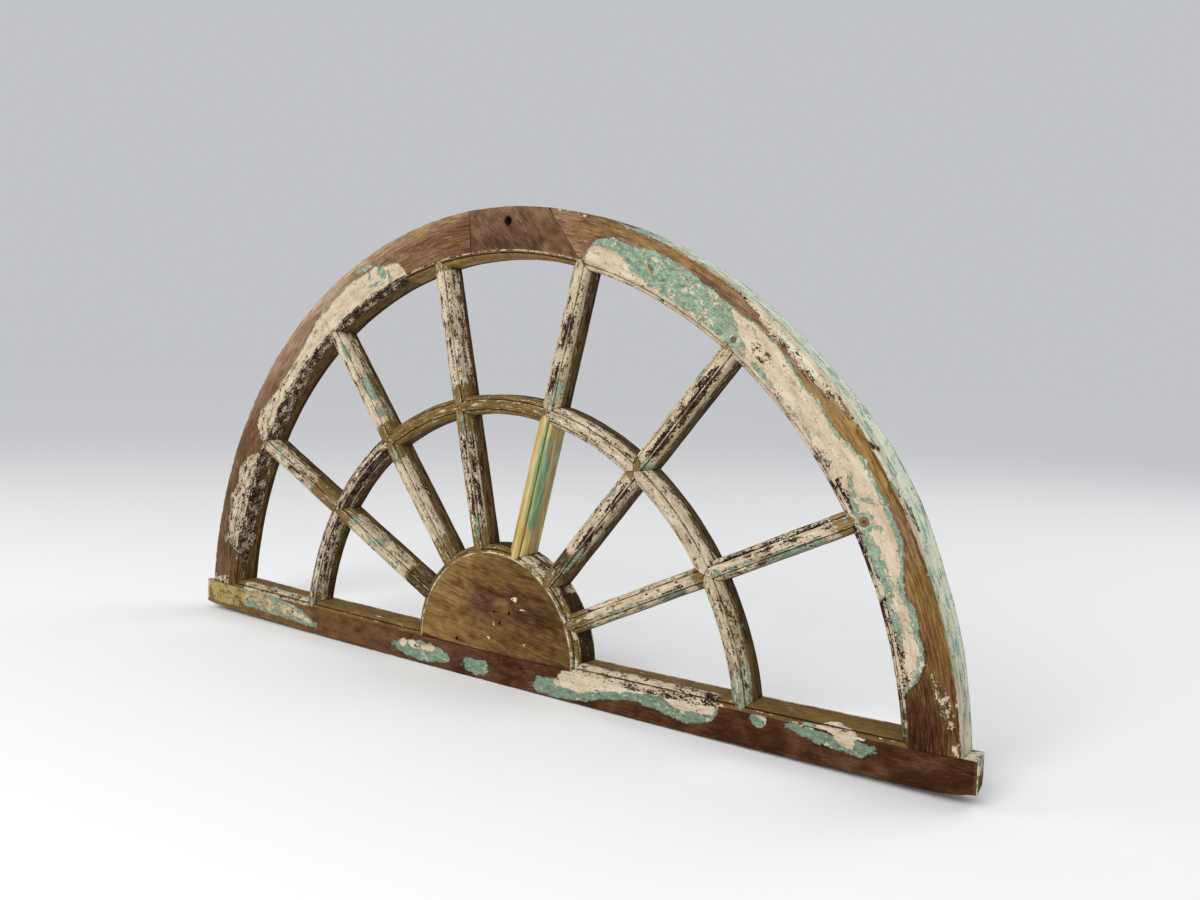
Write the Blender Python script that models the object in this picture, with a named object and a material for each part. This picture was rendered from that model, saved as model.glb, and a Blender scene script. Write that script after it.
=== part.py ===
"""Half-round timber fanlight frame, unglazed.

A straight bottom rail carries a three-piece semicircular arch and a solid half-round hub.
Six radial bars run from hub to arch in nearly equal bays.  A ring of seven curved bars crosses
them halfway, and all four bars at a crossing are mitred to one point.
Front is -Y, up is +Z, and the origin is under the middle of the rail.
"""
import math

import bmesh
import bpy
from mathutils import Matrix, Vector

# Driving dimensions, in metres and degrees.
FRAME_DEPTH = 0.042          # thickness of rail, arch and hub
BAR_DEPTH = 0.036            # thickness of the glazing bars, flush with the front
HALF_SPAN = 0.716            # middle of the rail to the end of a horn
RAIL_TOP = 0.044             # height of the rail's flat front face
ARCH_RADIUS = 0.700          # outer radius of the arch
ARCH_FACE = 0.060            # width of the arch's flat front face
ARCH_CENTRE_Z = -0.012       # the arch is struck from just below the rail
HUB_RADIUS = 0.148           # flat front face of the hub, struck from the rail top
RING_RADIUS = 0.422          # centre line of the ring, struck from the arch centre
BAR_ANGLES = (153.9, 128.4, 102.6, 75.8, 49.8, 24.6)   # radial bars, set out by hand

MOULD_WIDTH = 0.012          # moulded edge: face arris to opening
MOULD_DEPTH = 0.011
FILLET_WIDTH = 0.005         # worn fillet beside the arris
FILLET_FALL = 0.0015
QUIRK_STEP = 0.0015          # drop from the fillet to the start of the ovolo
OVOLO_SEGMENTS = 4
NOSE_WIDTH = 0.004           # flat front edge of a glazing bar

JOINT_LEFT_ANGLE = 95.3      # radial butt joint, left limb to crown
JOINT_RIGHT_OUTER = 83.0     # sloping joint, crown to right limb
JOINT_RIGHT_INNER = 77.2
JOINT_GAPE = 9.0             # opening angle of the shrunken outer part of that joint
GAPE_START = 0.016           # how far in from the rim the joint has opened

BOLT_HOLE = (89.0, 0.684, 0.013)     # angle, radius from the arch centre, diameter
PEGS = ((53.2, 0.648, 0.009), (28.5, 0.649, 0.012))
PEG_LENGTH = 0.026

GAP = 0.0003                 # clearance between touching pieces
REACH = 0.05                 # how far cutters run past the work
ARC_STEP = 3.0               # degrees per facet of the arch, ring and hub

FRONT = -FRAME_DEPTH / 2
ARRIS_RADIUS = ARCH_RADIUS - ARCH_FACE
ARCH_CENTRE = Vector((0.0, 0.0, ARCH_CENTRE_Z))
HUB_CENTRE = Vector((0.0, 0.0, RAIL_TOP))

TIMBER = {
    "bare_rail": ((0.16, 0.065, 0.032), 0.62),
    "bare_arch": ((0.21, 0.105, 0.055), 0.60),
    "bare_hub": ((0.22, 0.115, 0.045), 0.58),
    "flaked_cream": ((0.56, 0.44, 0.31), 0.66),
    "flaked_olive": ((0.30, 0.24, 0.12), 0.64),
    "washed_green": ((0.47, 0.44, 0.19), 0.55),
    "peg_wood": ((0.20, 0.07, 0.035), 0.70),
}


def clear_scene():
    """Remove whatever the scene already holds."""
    for item in list(bpy.data.objects):
        bpy.data.objects.remove(item, do_unlink=True)


def timber(name):
    """Return the named finish, making it on first use."""
    material = bpy.data.materials.get(name)
    if material is None:
        colour, roughness = TIMBER[name]
        material = bpy.data.materials.new(name)
        material.use_nodes = True
        shader = material.node_tree.nodes["Principled BSDF"]
        shader.inputs["Base Color"].default_value = (*colour, 1.0)
        shader.inputs["Roughness"].default_value = roughness
        shader.inputs["Metallic"].default_value = 0.0
    return material


def polar(centre, radius, degrees):
    """Point in the plane of the window, seen from the front."""
    angle = math.radians(degrees)
    return centre + Vector((radius * math.cos(angle), 0.0, radius * math.sin(angle)))


def moulded_edge():
    """Moulding from the face arris to the opening, as (inset, depth behind the face)."""
    start = FILLET_FALL + QUIRK_STEP
    points = [(0.0, 0.0), (FILLET_WIDTH, FILLET_FALL), (FILLET_WIDTH, start)]
    for step in range(1, OVOLO_SEGMENTS + 1):
        turn = math.radians(90.0 * step / OVOLO_SEGMENTS)
        inset = FILLET_WIDTH + (MOULD_WIDTH - FILLET_WIDTH) * math.sin(turn)
        depth = start + (MOULD_DEPTH - start) * (1.0 - math.cos(turn))
        points.append((inset, depth))
    return points


def bar_section():
    """Glazing bar across its run: the same moulding on both sides of a narrow nose."""
    half = NOSE_WIDTH / 2
    side = [(half + inset, FRONT + depth) for inset, depth in moulded_edge()]
    side.append((half + MOULD_WIDTH, FRONT + BAR_DEPTH))
    return side + [(-across, depth) for across, depth in reversed(side)]


def edge_section(arris, outward, far, front=FRONT, back=-FRONT):
    """Frame member across its run: flat from 'far' to the arris, then the moulded edge."""
    points = [(arris + outward * inset, FRONT + depth) for inset, depth in moulded_edge()]
    points[0] = (arris, front)
    if front != FRONT:
        points.insert(1, (arris, FRONT))
    points.append((arris + outward * MOULD_WIDTH, back))
    return points + [(far, back), (far, front)]


def shifted(section, across, depth):
    """Section moved sideways and in depth, for a cutter that leaves a clearance."""
    return [(u + across, y + depth) for u, y in section]


def new_object(name, bm, finish=None):
    """Turn a closed bmesh into an object, with outward faces."""
    bmesh.ops.remove_doubles(bm, verts=bm.verts, dist=1e-6)
    bmesh.ops.dissolve_degenerate(bm, edges=bm.edges, dist=1e-6)
    bmesh.ops.recalc_face_normals(bm, faces=bm.faces)
    mesh = bpy.data.meshes.new(name)
    bm.to_mesh(mesh)
    bm.free()
    item = bpy.data.objects.new(name, mesh)
    bpy.context.scene.collection.objects.link(item)
    if finish is None:
        item.hide_render = True
        item.display_type = "WIRE"
    else:
        mesh.materials.append(timber(finish))
        mesh.shade_smooth()
        mesh.set_sharp_from_angle(angle=math.radians(28.0))
    return item


def section_face(bm, section, place):
    """Add a section polygon; place maps (across, depth) to a point."""
    return bm.faces.new([bm.verts.new(place(u, y)) for u, y in section])


def swept_arc(section, centre, start, end):
    """Sweep a (radius, depth) section about a centre, counter-clockwise from the front."""
    bm = bmesh.new()
    direction = polar(Vector(), 1.0, start)
    face = section_face(bm, section, lambda r, y: centre + direction * r + Vector((0.0, y, 0.0)))
    bmesh.ops.spin(
        bm, geom=[face], cent=centre, axis=(0.0, -1.0, 0.0), dvec=(0.0, 0.0, 0.0),
        angle=math.radians(end - start), steps=max(1, round((end - start) / ARC_STEP)),
        use_merge=False, use_normal_flip=False, use_duplicate=False)
    return bm


def straight_run(section, start, end):
    """Extrude an (across, depth) section along a straight line in the window's plane."""
    bm = bmesh.new()
    along = (end - start).normalized()
    across = Vector((along.z, 0.0, -along.x))
    face = section_face(bm, section, lambda u, y: start + across * u + Vector((0.0, y, 0.0)))
    grown = bmesh.ops.extrude_face_region(bm, geom=[face])["geom"]
    moved = [part for part in grown if isinstance(part, bmesh.types.BMVert)]
    bmesh.ops.translate(bm, verts=moved, vec=end - start)
    return bm


def trim(bm, point, keep):
    """Cut flat through a point and keep the side that 'keep' points to."""
    whole = bm.verts[:] + bm.edges[:] + bm.faces[:]
    cut = bmesh.ops.bisect_plane(
        bm, geom=whole, dist=1e-7, plane_co=point, plane_no=keep, clear_inner=True)
    edges = [part for part in cut["geom_cut"] if isinstance(part, bmesh.types.BMEdge)]
    bmesh.ops.holes_fill(bm, edges=edges, sides=0)


def carve(item, cutter):
    """Subtract a cutter from an object."""
    modifier = item.modifiers.new("cut_" + cutter.name, "BOOLEAN")
    modifier.operation = "DIFFERENCE"
    modifier.solver = "EXACT"
    modifier.object = cutter


def crossing(index):
    """Where radial bar 'index' (1 to 6) meets the ring: point, bar direction, ring direction."""
    along = polar(Vector(), 1.0, BAR_ANGLES[index - 1])
    offset = HUB_CENTRE - ARCH_CENTRE
    middle = along.dot(offset)
    reach = -middle + math.sqrt(middle ** 2 - offset.length_squared + RING_RADIUS ** 2)
    point = HUB_CENTRE + along * reach
    radial = (point - ARCH_CENTRE).normalized()
    return point, along, Vector((radial.z, 0.0, -radial.x))


def mitre(bm, index, outgoing):
    """Trim a bar to the arrow that fits its quarter of a four-way crossing."""
    point, along, tangent = crossing(index)
    for bisector in (along + tangent, along - tangent):
        normal = Vector((bisector.z, 0.0, -bisector.x)).normalized()
        if normal.dot(outgoing) < 0.0:
            normal.negate()
        trim(bm, point + normal * (GAP / 2), normal)


def cylinder(angle, radius, diameter, front, back):
    """Plain cylinder square to the face of the arch, from one depth to another."""
    bm = bmesh.new()
    bmesh.ops.create_cone(
        bm, cap_ends=True, segments=40, radius1=diameter / 2, radius2=diameter / 2,
        depth=back - front, matrix=Matrix.Rotation(math.radians(90.0), 4, "X"))
    centre = polar(ARCH_CENTRE, radius, angle)
    bmesh.ops.translate(bm, verts=bm.verts, vec=centre + Vector((0.0, (front + back) / 2, 0.0)))
    return bm


def arch_cutter():
    """The arch's moulded edge grown by the clearance, for coping what meets it."""
    section = edge_section(ARRIS_RADIUS, -1, ARCH_RADIUS + REACH, FRONT - REACH, REACH)
    bm = swept_arc(shifted(section, -GAP, -GAP), ARCH_CENTRE, 0.0, 180.0)
    return new_object("arch_cutter", bm)


def arch_foot_cutter():
    """The same, only above the rail's face, where it clears the rail's moulding."""
    section = edge_section(ARRIS_RADIUS, -1, HALF_SPAN + REACH, FRONT - REACH, REACH)
    feet = []
    for name, start in (("right_foot_cutter", 0.0), ("left_foot_cutter", 165.0)):
        bm = swept_arc(shifted(section, -GAP, -GAP), ARCH_CENTRE, start, start + 15.0)
        trim(bm, HUB_CENTRE, Vector((0.0, 0.0, 1.0)))
        feet.append(new_object(name, bm))
    return feet


def hub_section(grow):
    """Hub from its axis to its moulded rim, optionally grown into a cutter."""
    if not grow:
        return edge_section(HUB_RADIUS, 1, 0.0)
    return shifted(edge_section(HUB_RADIUS, 1, -grow, FRONT - REACH, REACH), grow, -grow)


def hub_cutter():
    """Grown hub, for coping the radial bars and clearing the rail's moulding."""
    bm = swept_arc(hub_section(GAP), HUB_CENTRE, 0.0, 180.0)
    return new_object("hub_cutter", bm)


def rail_section(grow=0.0):
    """Rail from its underside to its moulded top, as (height, depth)."""
    if not grow:
        return edge_section(RAIL_TOP, 1, 0.0)
    return shifted(edge_section(RAIL_TOP, 1, -REACH, FRONT - REACH, REACH), grow, -grow)


def rail_run(section, half_length):
    """Sweep a (height, depth) section along the rail."""
    upright = [(-height, depth) for height, depth in section]
    return straight_run(upright, Vector((-half_length, 0.0, 0.0)), Vector((half_length, 0.0, 0.0)))


def make_rail(cutters):
    """Bottom rail: moulded between the limbs and the hub, plain horns beyond the arch."""
    rail = new_object("rail", rail_run(rail_section(), HALF_SPAN), "bare_rail")
    for cutter in cutters:
        carve(rail, cutter)


def make_hub():
    """Solid half-round block with a moulded rim, standing on the rail."""
    bm = swept_arc(hub_section(0.0), HUB_CENTRE, 0.0, 180.0)
    trim(bm, HUB_CENTRE + Vector((0.0, 0.0, GAP)), Vector((0.0, 0.0, 1.0)))
    new_object("hub", bm, "bare_hub")


def plate(name, outline):
    """Cutter through the whole thickness, from an outline of points on the face."""
    bm = bmesh.new()
    face = bm.faces.new([bm.verts.new((point.x, FRONT - REACH, point.z)) for point in outline])
    grown = bmesh.ops.extrude_face_region(bm, geom=[face])["geom"]
    moved = [part for part in grown if isinstance(part, bmesh.types.BMVert)]
    bmesh.ops.translate(bm, verts=moved, vec=(0.0, FRAME_DEPTH + 2 * REACH, 0.0))
    return new_object(name, bm)


def arch_piece(start, end):
    """A length of arch, long enough to be trimmed at both ends."""
    section = edge_section(ARRIS_RADIUS, -1, ARCH_RADIUS)
    return swept_arc(section, ARCH_CENTRE, start, end)


def make_crown(left_side):
    """Middle piece of the arch, with a plain radial end and a sloping one."""
    rim = polar(ARCH_CENTRE, ARCH_RADIUS, JOINT_RIGHT_OUTER)
    run = (polar(ARCH_CENTRE, ARRIS_RADIUS, JOINT_RIGHT_INNER) - rim).normalized()
    side = Vector((run.z, 0.0, -run.x))
    crown = arch_piece(JOINT_RIGHT_INNER - ARC_STEP, JOINT_LEFT_ANGLE + ARC_STEP)
    trim(crown, ARCH_CENTRE - left_side * (GAP / 2), -left_side)
    trim(crown, rim + side * (GAP / 2), side)
    crown = new_object("arch_crown", crown, "bare_arch")
    angle, radius, diameter = BOLT_HOLE
    hole = cylinder(angle, radius, diameter, FRONT - REACH, REACH)
    carve(crown, new_object("bolt_hole", hole))
    return rim, run, side


def make_arch():
    """Left limb, crown and right limb, butted at two joints and standing on the rail."""
    foot = HUB_CENTRE + Vector((0.0, 0.0, GAP))
    up = Vector((0.0, 0.0, 1.0))
    left_side = polar(Vector(), 1.0, JOINT_LEFT_ANGLE + 90.0)

    left = arch_piece(JOINT_LEFT_ANGLE - ARC_STEP, 180.0)
    trim(left, ARCH_CENTRE + left_side * (GAP / 2), left_side)
    trim(left, foot, up)
    new_object("arch_left", left, "bare_arch")

    rim, run, side = make_crown(left_side)
    right = arch_piece(0.0, JOINT_RIGHT_OUTER + ARC_STEP)
    trim(right, foot, up)
    right = new_object("arch_right", right, "flaked_cream")
    throat = rim + run * GAPE_START - side * (GAP / 2)
    gape = Matrix.Rotation(math.radians(JOINT_GAPE), 4, "Y") @ run
    outline = [throat, throat + run * 2 * ARCH_FACE, throat + run * 2 * ARCH_FACE + side * REACH * 3,
               throat - gape * REACH + side * REACH * 3, throat - gape * REACH]
    carve(right, plate("joint_cutter", outline))
    make_pegs(right)


def make_pegs(limb):
    """Round pegs that pin two radial bars, flush with the face of the right limb."""
    for number, (angle, radius, diameter) in enumerate(PEGS, 1):
        bottom = FRONT + PEG_LENGTH
        socket = cylinder(angle, radius, diameter + 2 * GAP, FRONT - REACH, bottom + GAP)
        carve(limb, new_object("socket_%d" % number, socket))
        peg = cylinder(angle, radius, diameter, FRONT, bottom)
        new_object("peg_%d" % number, peg, "peg_wood")


def make_spokes(arch, hub):
    """Six radial bars, each an inner and an outer length mitred at the ring."""
    for index in range(1, len(BAR_ANGLES) + 1):
        point, along, _ = crossing(index)
        inner_end = HUB_CENTRE + along * (HUB_RADIUS - REACH)
        outer_end = HUB_CENTRE + along * (ARRIS_RADIUS + REACH / 2)
        inner = straight_run(bar_section(), inner_end, point + along * REACH)
        mitre(inner, index, -along)
        finish = "washed_green" if index == 4 else "flaked_cream"
        carve(new_object("spoke_inner_%d" % index, inner, finish), hub)
        outer = straight_run(bar_section(), point - along * REACH, outer_end)
        mitre(outer, index, along)
        carve(new_object("spoke_outer_%d" % index, outer, "flaked_cream"), arch)


def make_ring(rail):
    """Seven curved bars between the radial bars; the end ones stand on the rail."""
    section = [(RING_RADIUS + across, depth) for across, depth in bar_section()]
    overlap = math.degrees(REACH / RING_RADIUS)
    last = len(BAR_ANGLES) + 1
    ends = [180.0 - overlap / 2]
    for index in range(1, last):
        radial = crossing(index)[0] - ARCH_CENTRE
        ends.append(math.degrees(math.atan2(radial.z, radial.x)))
    ends.append(overlap / 2)
    for index in range(1, last + 1):
        bm = swept_arc(section, ARCH_CENTRE, ends[index] - overlap, ends[index - 1] + overlap)
        if index > 1:
            mitre(bm, index - 1, crossing(index - 1)[2])
        if index < last:
            mitre(bm, index, -crossing(index)[2])
        arc = new_object("ring_%d" % index, bm, "flaked_olive" if index in (3, 4) else "flaked_cream")
        if index in (1, last):
            carve(arc, rail)


def main():
    """Build the whole fanlight."""
    clear_scene()
    arch = arch_cutter()
    hub = hub_cutter()
    rail = new_object("rail_cutter", rail_run(rail_section(GAP), HALF_SPAN + REACH))
    make_rail(arch_foot_cutter() + [hub])
    make_hub()
    make_arch()
    make_spokes(arch, hub)
    make_ring(rail)


if __name__ == "__main__":
    main()
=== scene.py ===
"""Half-round fanlight frame in worn painted timber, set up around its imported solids.

Each piece starts as a straight length of moulding, is bent and coped into its place, is dented
and worn, and then gets its paint: how far inside a paint film each point lies is stored with the
mesh, and the materials break those edges up into flakes.
Working sizes are in millimetres; meshes are scaled to metres as the last step.
"""
from functools import partial
import math

import bmesh
import bpy
from mathutils import Matrix, Vector, noise


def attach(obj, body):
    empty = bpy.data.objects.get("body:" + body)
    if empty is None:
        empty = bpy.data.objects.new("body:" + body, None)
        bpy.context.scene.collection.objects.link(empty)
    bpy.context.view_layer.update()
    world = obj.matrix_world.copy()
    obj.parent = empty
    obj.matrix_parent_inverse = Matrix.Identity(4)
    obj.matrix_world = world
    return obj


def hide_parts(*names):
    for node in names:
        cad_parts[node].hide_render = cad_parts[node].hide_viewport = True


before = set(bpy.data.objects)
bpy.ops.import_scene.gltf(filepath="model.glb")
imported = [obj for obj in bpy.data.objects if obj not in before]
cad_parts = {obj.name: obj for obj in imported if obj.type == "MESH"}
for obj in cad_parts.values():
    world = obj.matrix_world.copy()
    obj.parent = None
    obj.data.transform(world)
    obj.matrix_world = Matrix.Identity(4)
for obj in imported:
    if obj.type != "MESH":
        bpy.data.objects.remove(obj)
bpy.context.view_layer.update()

bl_info = {
    "name": "Painted Fanlight",
    "version": (1, 0, 0),
    "blender": (4, 5, 0),
    "location": "3D View > Sidebar > Fanlight",
    "description": "Builds a weathered half-round fanlight frame, piece by piece",
    "category": "Add Mesh",
}

MM = 0.001

PITCH = 3.0                   # spacing of the mesh lines on every timber
GAP = 0.3                     # open line left at each joint
LIP = 0.2                     # share of a mesh step that end grain takes on a face
MERGE = 0.004                 # mesh points closer than this become one
SHARP = 38.0                  # edges that turn by more degrees than this stay crisp
# How many mesh steps each timber has along its length.
STEPS_ALONG = {
    "left_limb": 320, "crown": 66, "right_limb": 300, "rail": 478, "strip": 156, "hub": 150,
    "radial_bar": 74, "curved_bar": 62,
}

BAR_ANGLES = (153.9, 128.4, 102.6, 75.8, 49.8, 24.6)
SMOOTH_BAR = 4                # the inner bar that is a smooth replacement
BARE_RING_BARS = (3, 4)       # ring bars that have lost most of their cream
JOINT_LEFT = 95.3             # crown joints, in degrees about the arch centre
JOINT_RIGHT_OUTER = 83.0
JOINT_RIGHT_INNER = 77.2
JOINT_GAPE = 9.0
GAPE_START = 16.0
BOLT_HOLE = (89.0, 684.0, 6.5)             # angle, radius from the arch centre, half width
# Pegs: angle, radius from the arch centre, half width, how far sunk, colour, and whether hollow.
PEGS = (
    (53.2, 648.0, 4.5, 0.9, (0.13, 0.085, 0.04), False),
    (28.5, 649.0, 6.0, 0.2, (0.24, 0.095, 0.04), True),
)
PEG_LENGTH = 26.0
PEG_HOLLOW = (0.03, 0.014, 0.008)

# Moulding, as it steps away from the face arris.
FILLET = 5.0
FILLET_FALL = 1.5
QUIRK_FALL = 3.0
MOULD_WIDTH = 12.0
MOULD_DEPTH = 11.0
NOSE_HALF = 2.0
# The band's darkness is putty stain, and painted shade of a rebate that the sections leave out.
PUTTY_AND_SHADE_BAND = 7.0              # dark band along the back of every opening
ARRIS = 0.7                   # easing of the square edges

# How the old frame has moved: the rail has risen at its ends, less and less towards the top.
RAIL_RISE = 10.0
RISE_SPAN = 716.0
RISE_HEIGHT = 700.0

BARE = -20.0                  # well outside a film of paint
FRAME_SKIN = 0.8              # points this near the back of the frame or of a bar are its back
BAR_SKIN = 0.5


# ------------------------------------------------------------------ setting out

class Plan:
    """Setting-out sizes in millimetres, read from the panel's values."""

    def __init__(self, size):
        self.depth = size.frame_depth / MM
        self.front = -self.depth / 2
        self.bar_depth = size.bar_depth / MM
        self.half_span = size.rail_length / MM / 2
        self.rail_top = size.rail_height / MM
        self.rim = size.arch_radius / MM
        self.face = size.arch_face / MM
        self.arris = self.rim - self.face
        self.arch_z = size.arch_centre / MM
        self.hub = size.hub_radius / MM
        self.ring = size.ring_radius / MM


def plan_of(context):
    """The plan for the sizes now in the panel."""
    return Plan(context.scene.fanlight_size)


def on_circle(centre_z, radius, degrees, y=0.0):
    """A point on a circle in the plane of the window, seen from the front."""
    turn = math.radians(degrees)
    return Vector((radius * math.cos(turn), y, centre_z + radius * math.sin(turn)))


def bearing(point, centre_z=0.0):
    """Angle of a point about a centre on the middle line, in degrees up from the right."""
    return math.degrees(math.atan2(point.z - centre_z, point.x))


def inset(depth):
    """How far the moulding has stepped away from the arris at a depth behind the face."""
    if depth <= 0.0:
        return 0.0
    if depth < FILLET_FALL:
        return FILLET * depth / FILLET_FALL
    if depth < QUIRK_FALL:
        return FILLET
    if depth < MOULD_DEPTH:
        fall = 1.0 - (depth - QUIRK_FALL) / (MOULD_DEPTH - QUIRK_FALL)
        return FILLET + (MOULD_WIDTH - FILLET) * math.sqrt(max(0.0, 1.0 - fall * fall))
    return MOULD_WIDTH


def crossing(plan, index):
    """Where radial bar 'index' meets the ring: point, bar direction, ring direction."""
    along = on_circle(0.0, 1.0, BAR_ANGLES[index - 1])
    rise = plan.rail_top - plan.arch_z
    middle = along.z * rise
    reach = -middle + math.sqrt(middle ** 2 - rise ** 2 + plan.ring ** 2)
    point = Vector((0.0, 0.0, plan.rail_top)) + along * reach
    radial = (point - Vector((0.0, 0.0, plan.arch_z))).normalized()
    return point, along, Vector((radial.z, 0.0, -radial.x))


def mitre(leaving, neighbour, offset):
    """How far back a mitred bar starts from the crossing, at a sideways offset."""
    bisector = leaving + neighbour
    forward = bisector.dot(leaving)
    sideways = (bisector - leaving * forward).length
    return offset * forward / sideways + GAP * 0.7


def lift(angle):
    """How far the arch swells outward of a true circle, in its upper left."""
    return between(angle, (
        (62, 0.0), (76, 2.5), (88, 5.0), (100, 5.5), (115, 4.5), (140, 3.0), (165, 0.0)))


def belly(angle):
    """How far the back edge of the right limb's rim stands out past its front edge."""
    return between(angle, (
        (5, -3.0), (9, -2.0), (14, 0.0), (20, 1.0), (28, 5.0), (34, 5.0), (44, 0.0)))


def rubbed(angle):
    """How much of the right limb's outer arris has been rubbed away, from 0 to 1."""
    return between(angle, ((34, 0.0), (40, 1.0), (50, 1.0), (57, 0.0)))


def camber(vert):
    """Lift a point as the old frame has done, whose rail has risen towards both ends."""
    share = vert.co.x / RISE_SPAN
    fade = 1.0 - min(1.0, max(0.0, vert.co.z / RISE_HEIGHT))
    vert.co.z += RAIL_RISE * share * share * fade


def joint_angle(plan, radius):
    """Angle of the sloping right-hand joint where it crosses a given radius."""
    rim = on_circle(0.0, plan.rim, JOINT_RIGHT_OUTER)
    run = (on_circle(0.0, plan.arris, JOINT_RIGHT_INNER) - rim).normalized()
    middle = rim.dot(run)
    reach = -middle - math.sqrt(max(0.0, middle ** 2 - rim.dot(rim) + radius ** 2))
    point = rim + run * reach
    return bearing(point), reach


def limb_start(plan, radius):
    """Angle at which the right limb starts below the sloping joint, gape included."""
    angle, reach = joint_angle(plan, radius)
    open_by = max(0.0, GAPE_START - reach) * math.tan(math.radians(JOINT_GAPE)) + GAP
    return angle - math.degrees(open_by / radius)


# ------------------------------------------------------------------ sections

def spaced(first, last, pitch=PITCH, whole=False):
    """Evenly spaced points from the first up to the last, which is left out unless 'whole'."""
    first, last = Vector(first), Vector(last)
    count = max(1, round((last - first).length / pitch))
    return [first.lerp(last, step / count) for step in range(count)] + ([last] if whole else [])


def moulding():
    """The moulded edge as (inset, depth): fillet, open quirk, then the round."""
    steps = 6
    points = [(0.0, 0.0), (0.9, 0.12), (FILLET * 0.55, FILLET_FALL * 0.5)]
    points += [(FILLET - 0.6, FILLET_FALL), (FILLET - 0.2, QUIRK_FALL + 1.55)]
    points += [(FILLET + 0.6, QUIRK_FALL + 1.7), (FILLET + 1.2, QUIRK_FALL + 0.35)]
    for step in range(1, steps + 1):
        turn = math.radians(20.0 + 70.0 * step / steps)
        depth = QUIRK_FALL + (MOULD_DEPTH - QUIRK_FALL) * (1.0 - math.cos(turn))
        points.append((FILLET + (MOULD_WIDTH - FILLET) * math.sin(turn), depth))
    return [Vector(point) for point in points]


def bar_section(plan):
    """Section of a glazing bar as (across, depth), all the way round."""
    back = plan.bar_depth
    half = NOSE_HALF + MOULD_WIDTH
    side = [Vector((NOSE_HALF + point.x, point.y)) for point in moulding()[:-1]]
    side += spaced((half, MOULD_DEPTH), (half, back - PUTTY_AND_SHADE_BAND))
    side += spaced((half, back - PUTTY_AND_SHADE_BAND), (half, back - ARRIS), 2.0, whole=True)
    side += spaced((half - ARRIS, back), (0.0, back))
    other = [Vector((-point.x, point.y)) for point in reversed(side[1:])]
    nose = [Vector((0.0, -0.15))]
    return nose + side + [Vector((0.0, back))] + other + [Vector((-NOSE_HALF, 0.0))]


def square_section(low, high, plan):
    """Plain rectangle from low to high, with eased edges."""
    depth = plan.depth
    left, right, back = low + ARRIS, high - ARRIS, depth - ARRIS
    points = spaced((right, 0.0), (left, 0.0), whole=True)
    points += spaced((low, ARRIS), (low, back), whole=True)
    points += spaced((left, depth), (right, depth), whole=True)
    return points + spaced((high, back), (high, ARRIS), whole=True)


def arch_section(plan):
    """Section of the arch as (distance outside the arris, depth)."""
    depth, face = plan.depth, plan.face
    putty, back = depth - PUTTY_AND_SHADE_BAND, depth - ARRIS
    points = [Vector((-point.x, point.y)) for point in moulding()[:-1]]
    points += spaced((-MOULD_WIDTH, MOULD_DEPTH), (-MOULD_WIDTH, putty))
    points += spaced((-MOULD_WIDTH, putty), (-MOULD_WIDTH, back), 2.0, whole=True)
    points += spaced((-MOULD_WIDTH + ARRIS, depth), (face - ARRIS, depth), whole=True)
    points += spaced((face, back), (face, 1.6), whole=True)
    points += [Vector((face - 0.5, 0.5)), Vector((face - 1.6, 0.0))]
    return points + spaced((face - 3.2, 0.0), (0.0, 0.0))


def hub_section(plan):
    """Section of the hub as (radius, depth), from its axis to its moulded rim."""
    depth = plan.depth
    points = spaced((0.0, 0.0), (plan.hub, 0.0))
    points += [Vector((plan.hub + point.x, point.y)) for point in moulding()[:-1]]
    edge = plan.hub + MOULD_WIDTH
    points += spaced((edge, MOULD_DEPTH), (edge, depth - ARRIS), whole=True)
    points += spaced((edge - ARRIS, depth), (0.0, depth), 6.0)
    return points + spaced((0.0, depth), (0.0, 0.0), 10.0)


def strip_section(plan):
    """Section of the rail's moulded top strip as (height, depth)."""
    low, high, depth = plan.rail_top, plan.rail_top + MOULD_WIDTH, plan.depth
    points = [Vector((low + point.x, point.y)) for point in moulding()[:-1]]
    points += spaced((high, MOULD_DEPTH), (high, depth - ARRIS), whole=True)
    points += [Vector((high - ARRIS, depth)), Vector((low + 4.0, depth)), Vector((low - 0.5, depth))]
    return points + [Vector((low - 0.5, 1.0))]


# ------------------------------------------------------------------ timber

def straight_stock(section, steps):
    """A straight closed length of the section, one unit long, ready to be bent."""
    bm = bmesh.new()
    face = bm.faces.new([bm.verts.new((0.0, point.y, point.x)) for point in section])
    bmesh.ops.spin(
        bm, geom=[face], cent=(0.0, 0.0, 0.0), axis=(0.0, 1.0, 0.0), dvec=(1.0 / steps, 0.0, 0.0),
        angle=0.0, steps=steps, use_merge=False, use_normal_flip=False, use_duplicate=False)
    return bm


def bend(bm, place, steps, lie=None):
    """Move each point to its place, and note where it lies in the straight timber.

    'spot' is (along, across, depth) and 'raw' marks end grain; 'grain' is what the textures
    follow, the same as the spot unless 'lie' turns the figure of the wood.
    """
    spots = bm.verts.layers.float_vector.new("spot")
    grain = bm.verts.layers.float_vector.new("grain")
    raw = bm.verts.layers.float.new("raw")
    for vert in bm.verts:
        share, depth, across = vert.co
        line = round(share * steps)
        if line in (1, steps - 1):
            share = (LIP if line == 1 else steps - LIP) / steps
        vert.co, along = place(share, across, depth)
        vert[spots] = (along, across, depth)
        vert[grain] = lie(vert.co) if lie else vert[spots]
        vert[raw] = 1.0 if line in (0, steps) else 0.0


def crowd(share):
    """Crowd the mesh lines a little towards both ends."""
    return share - 0.35 * math.sin(2.0 * math.pi * share) / (2.0 * math.pi)


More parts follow.
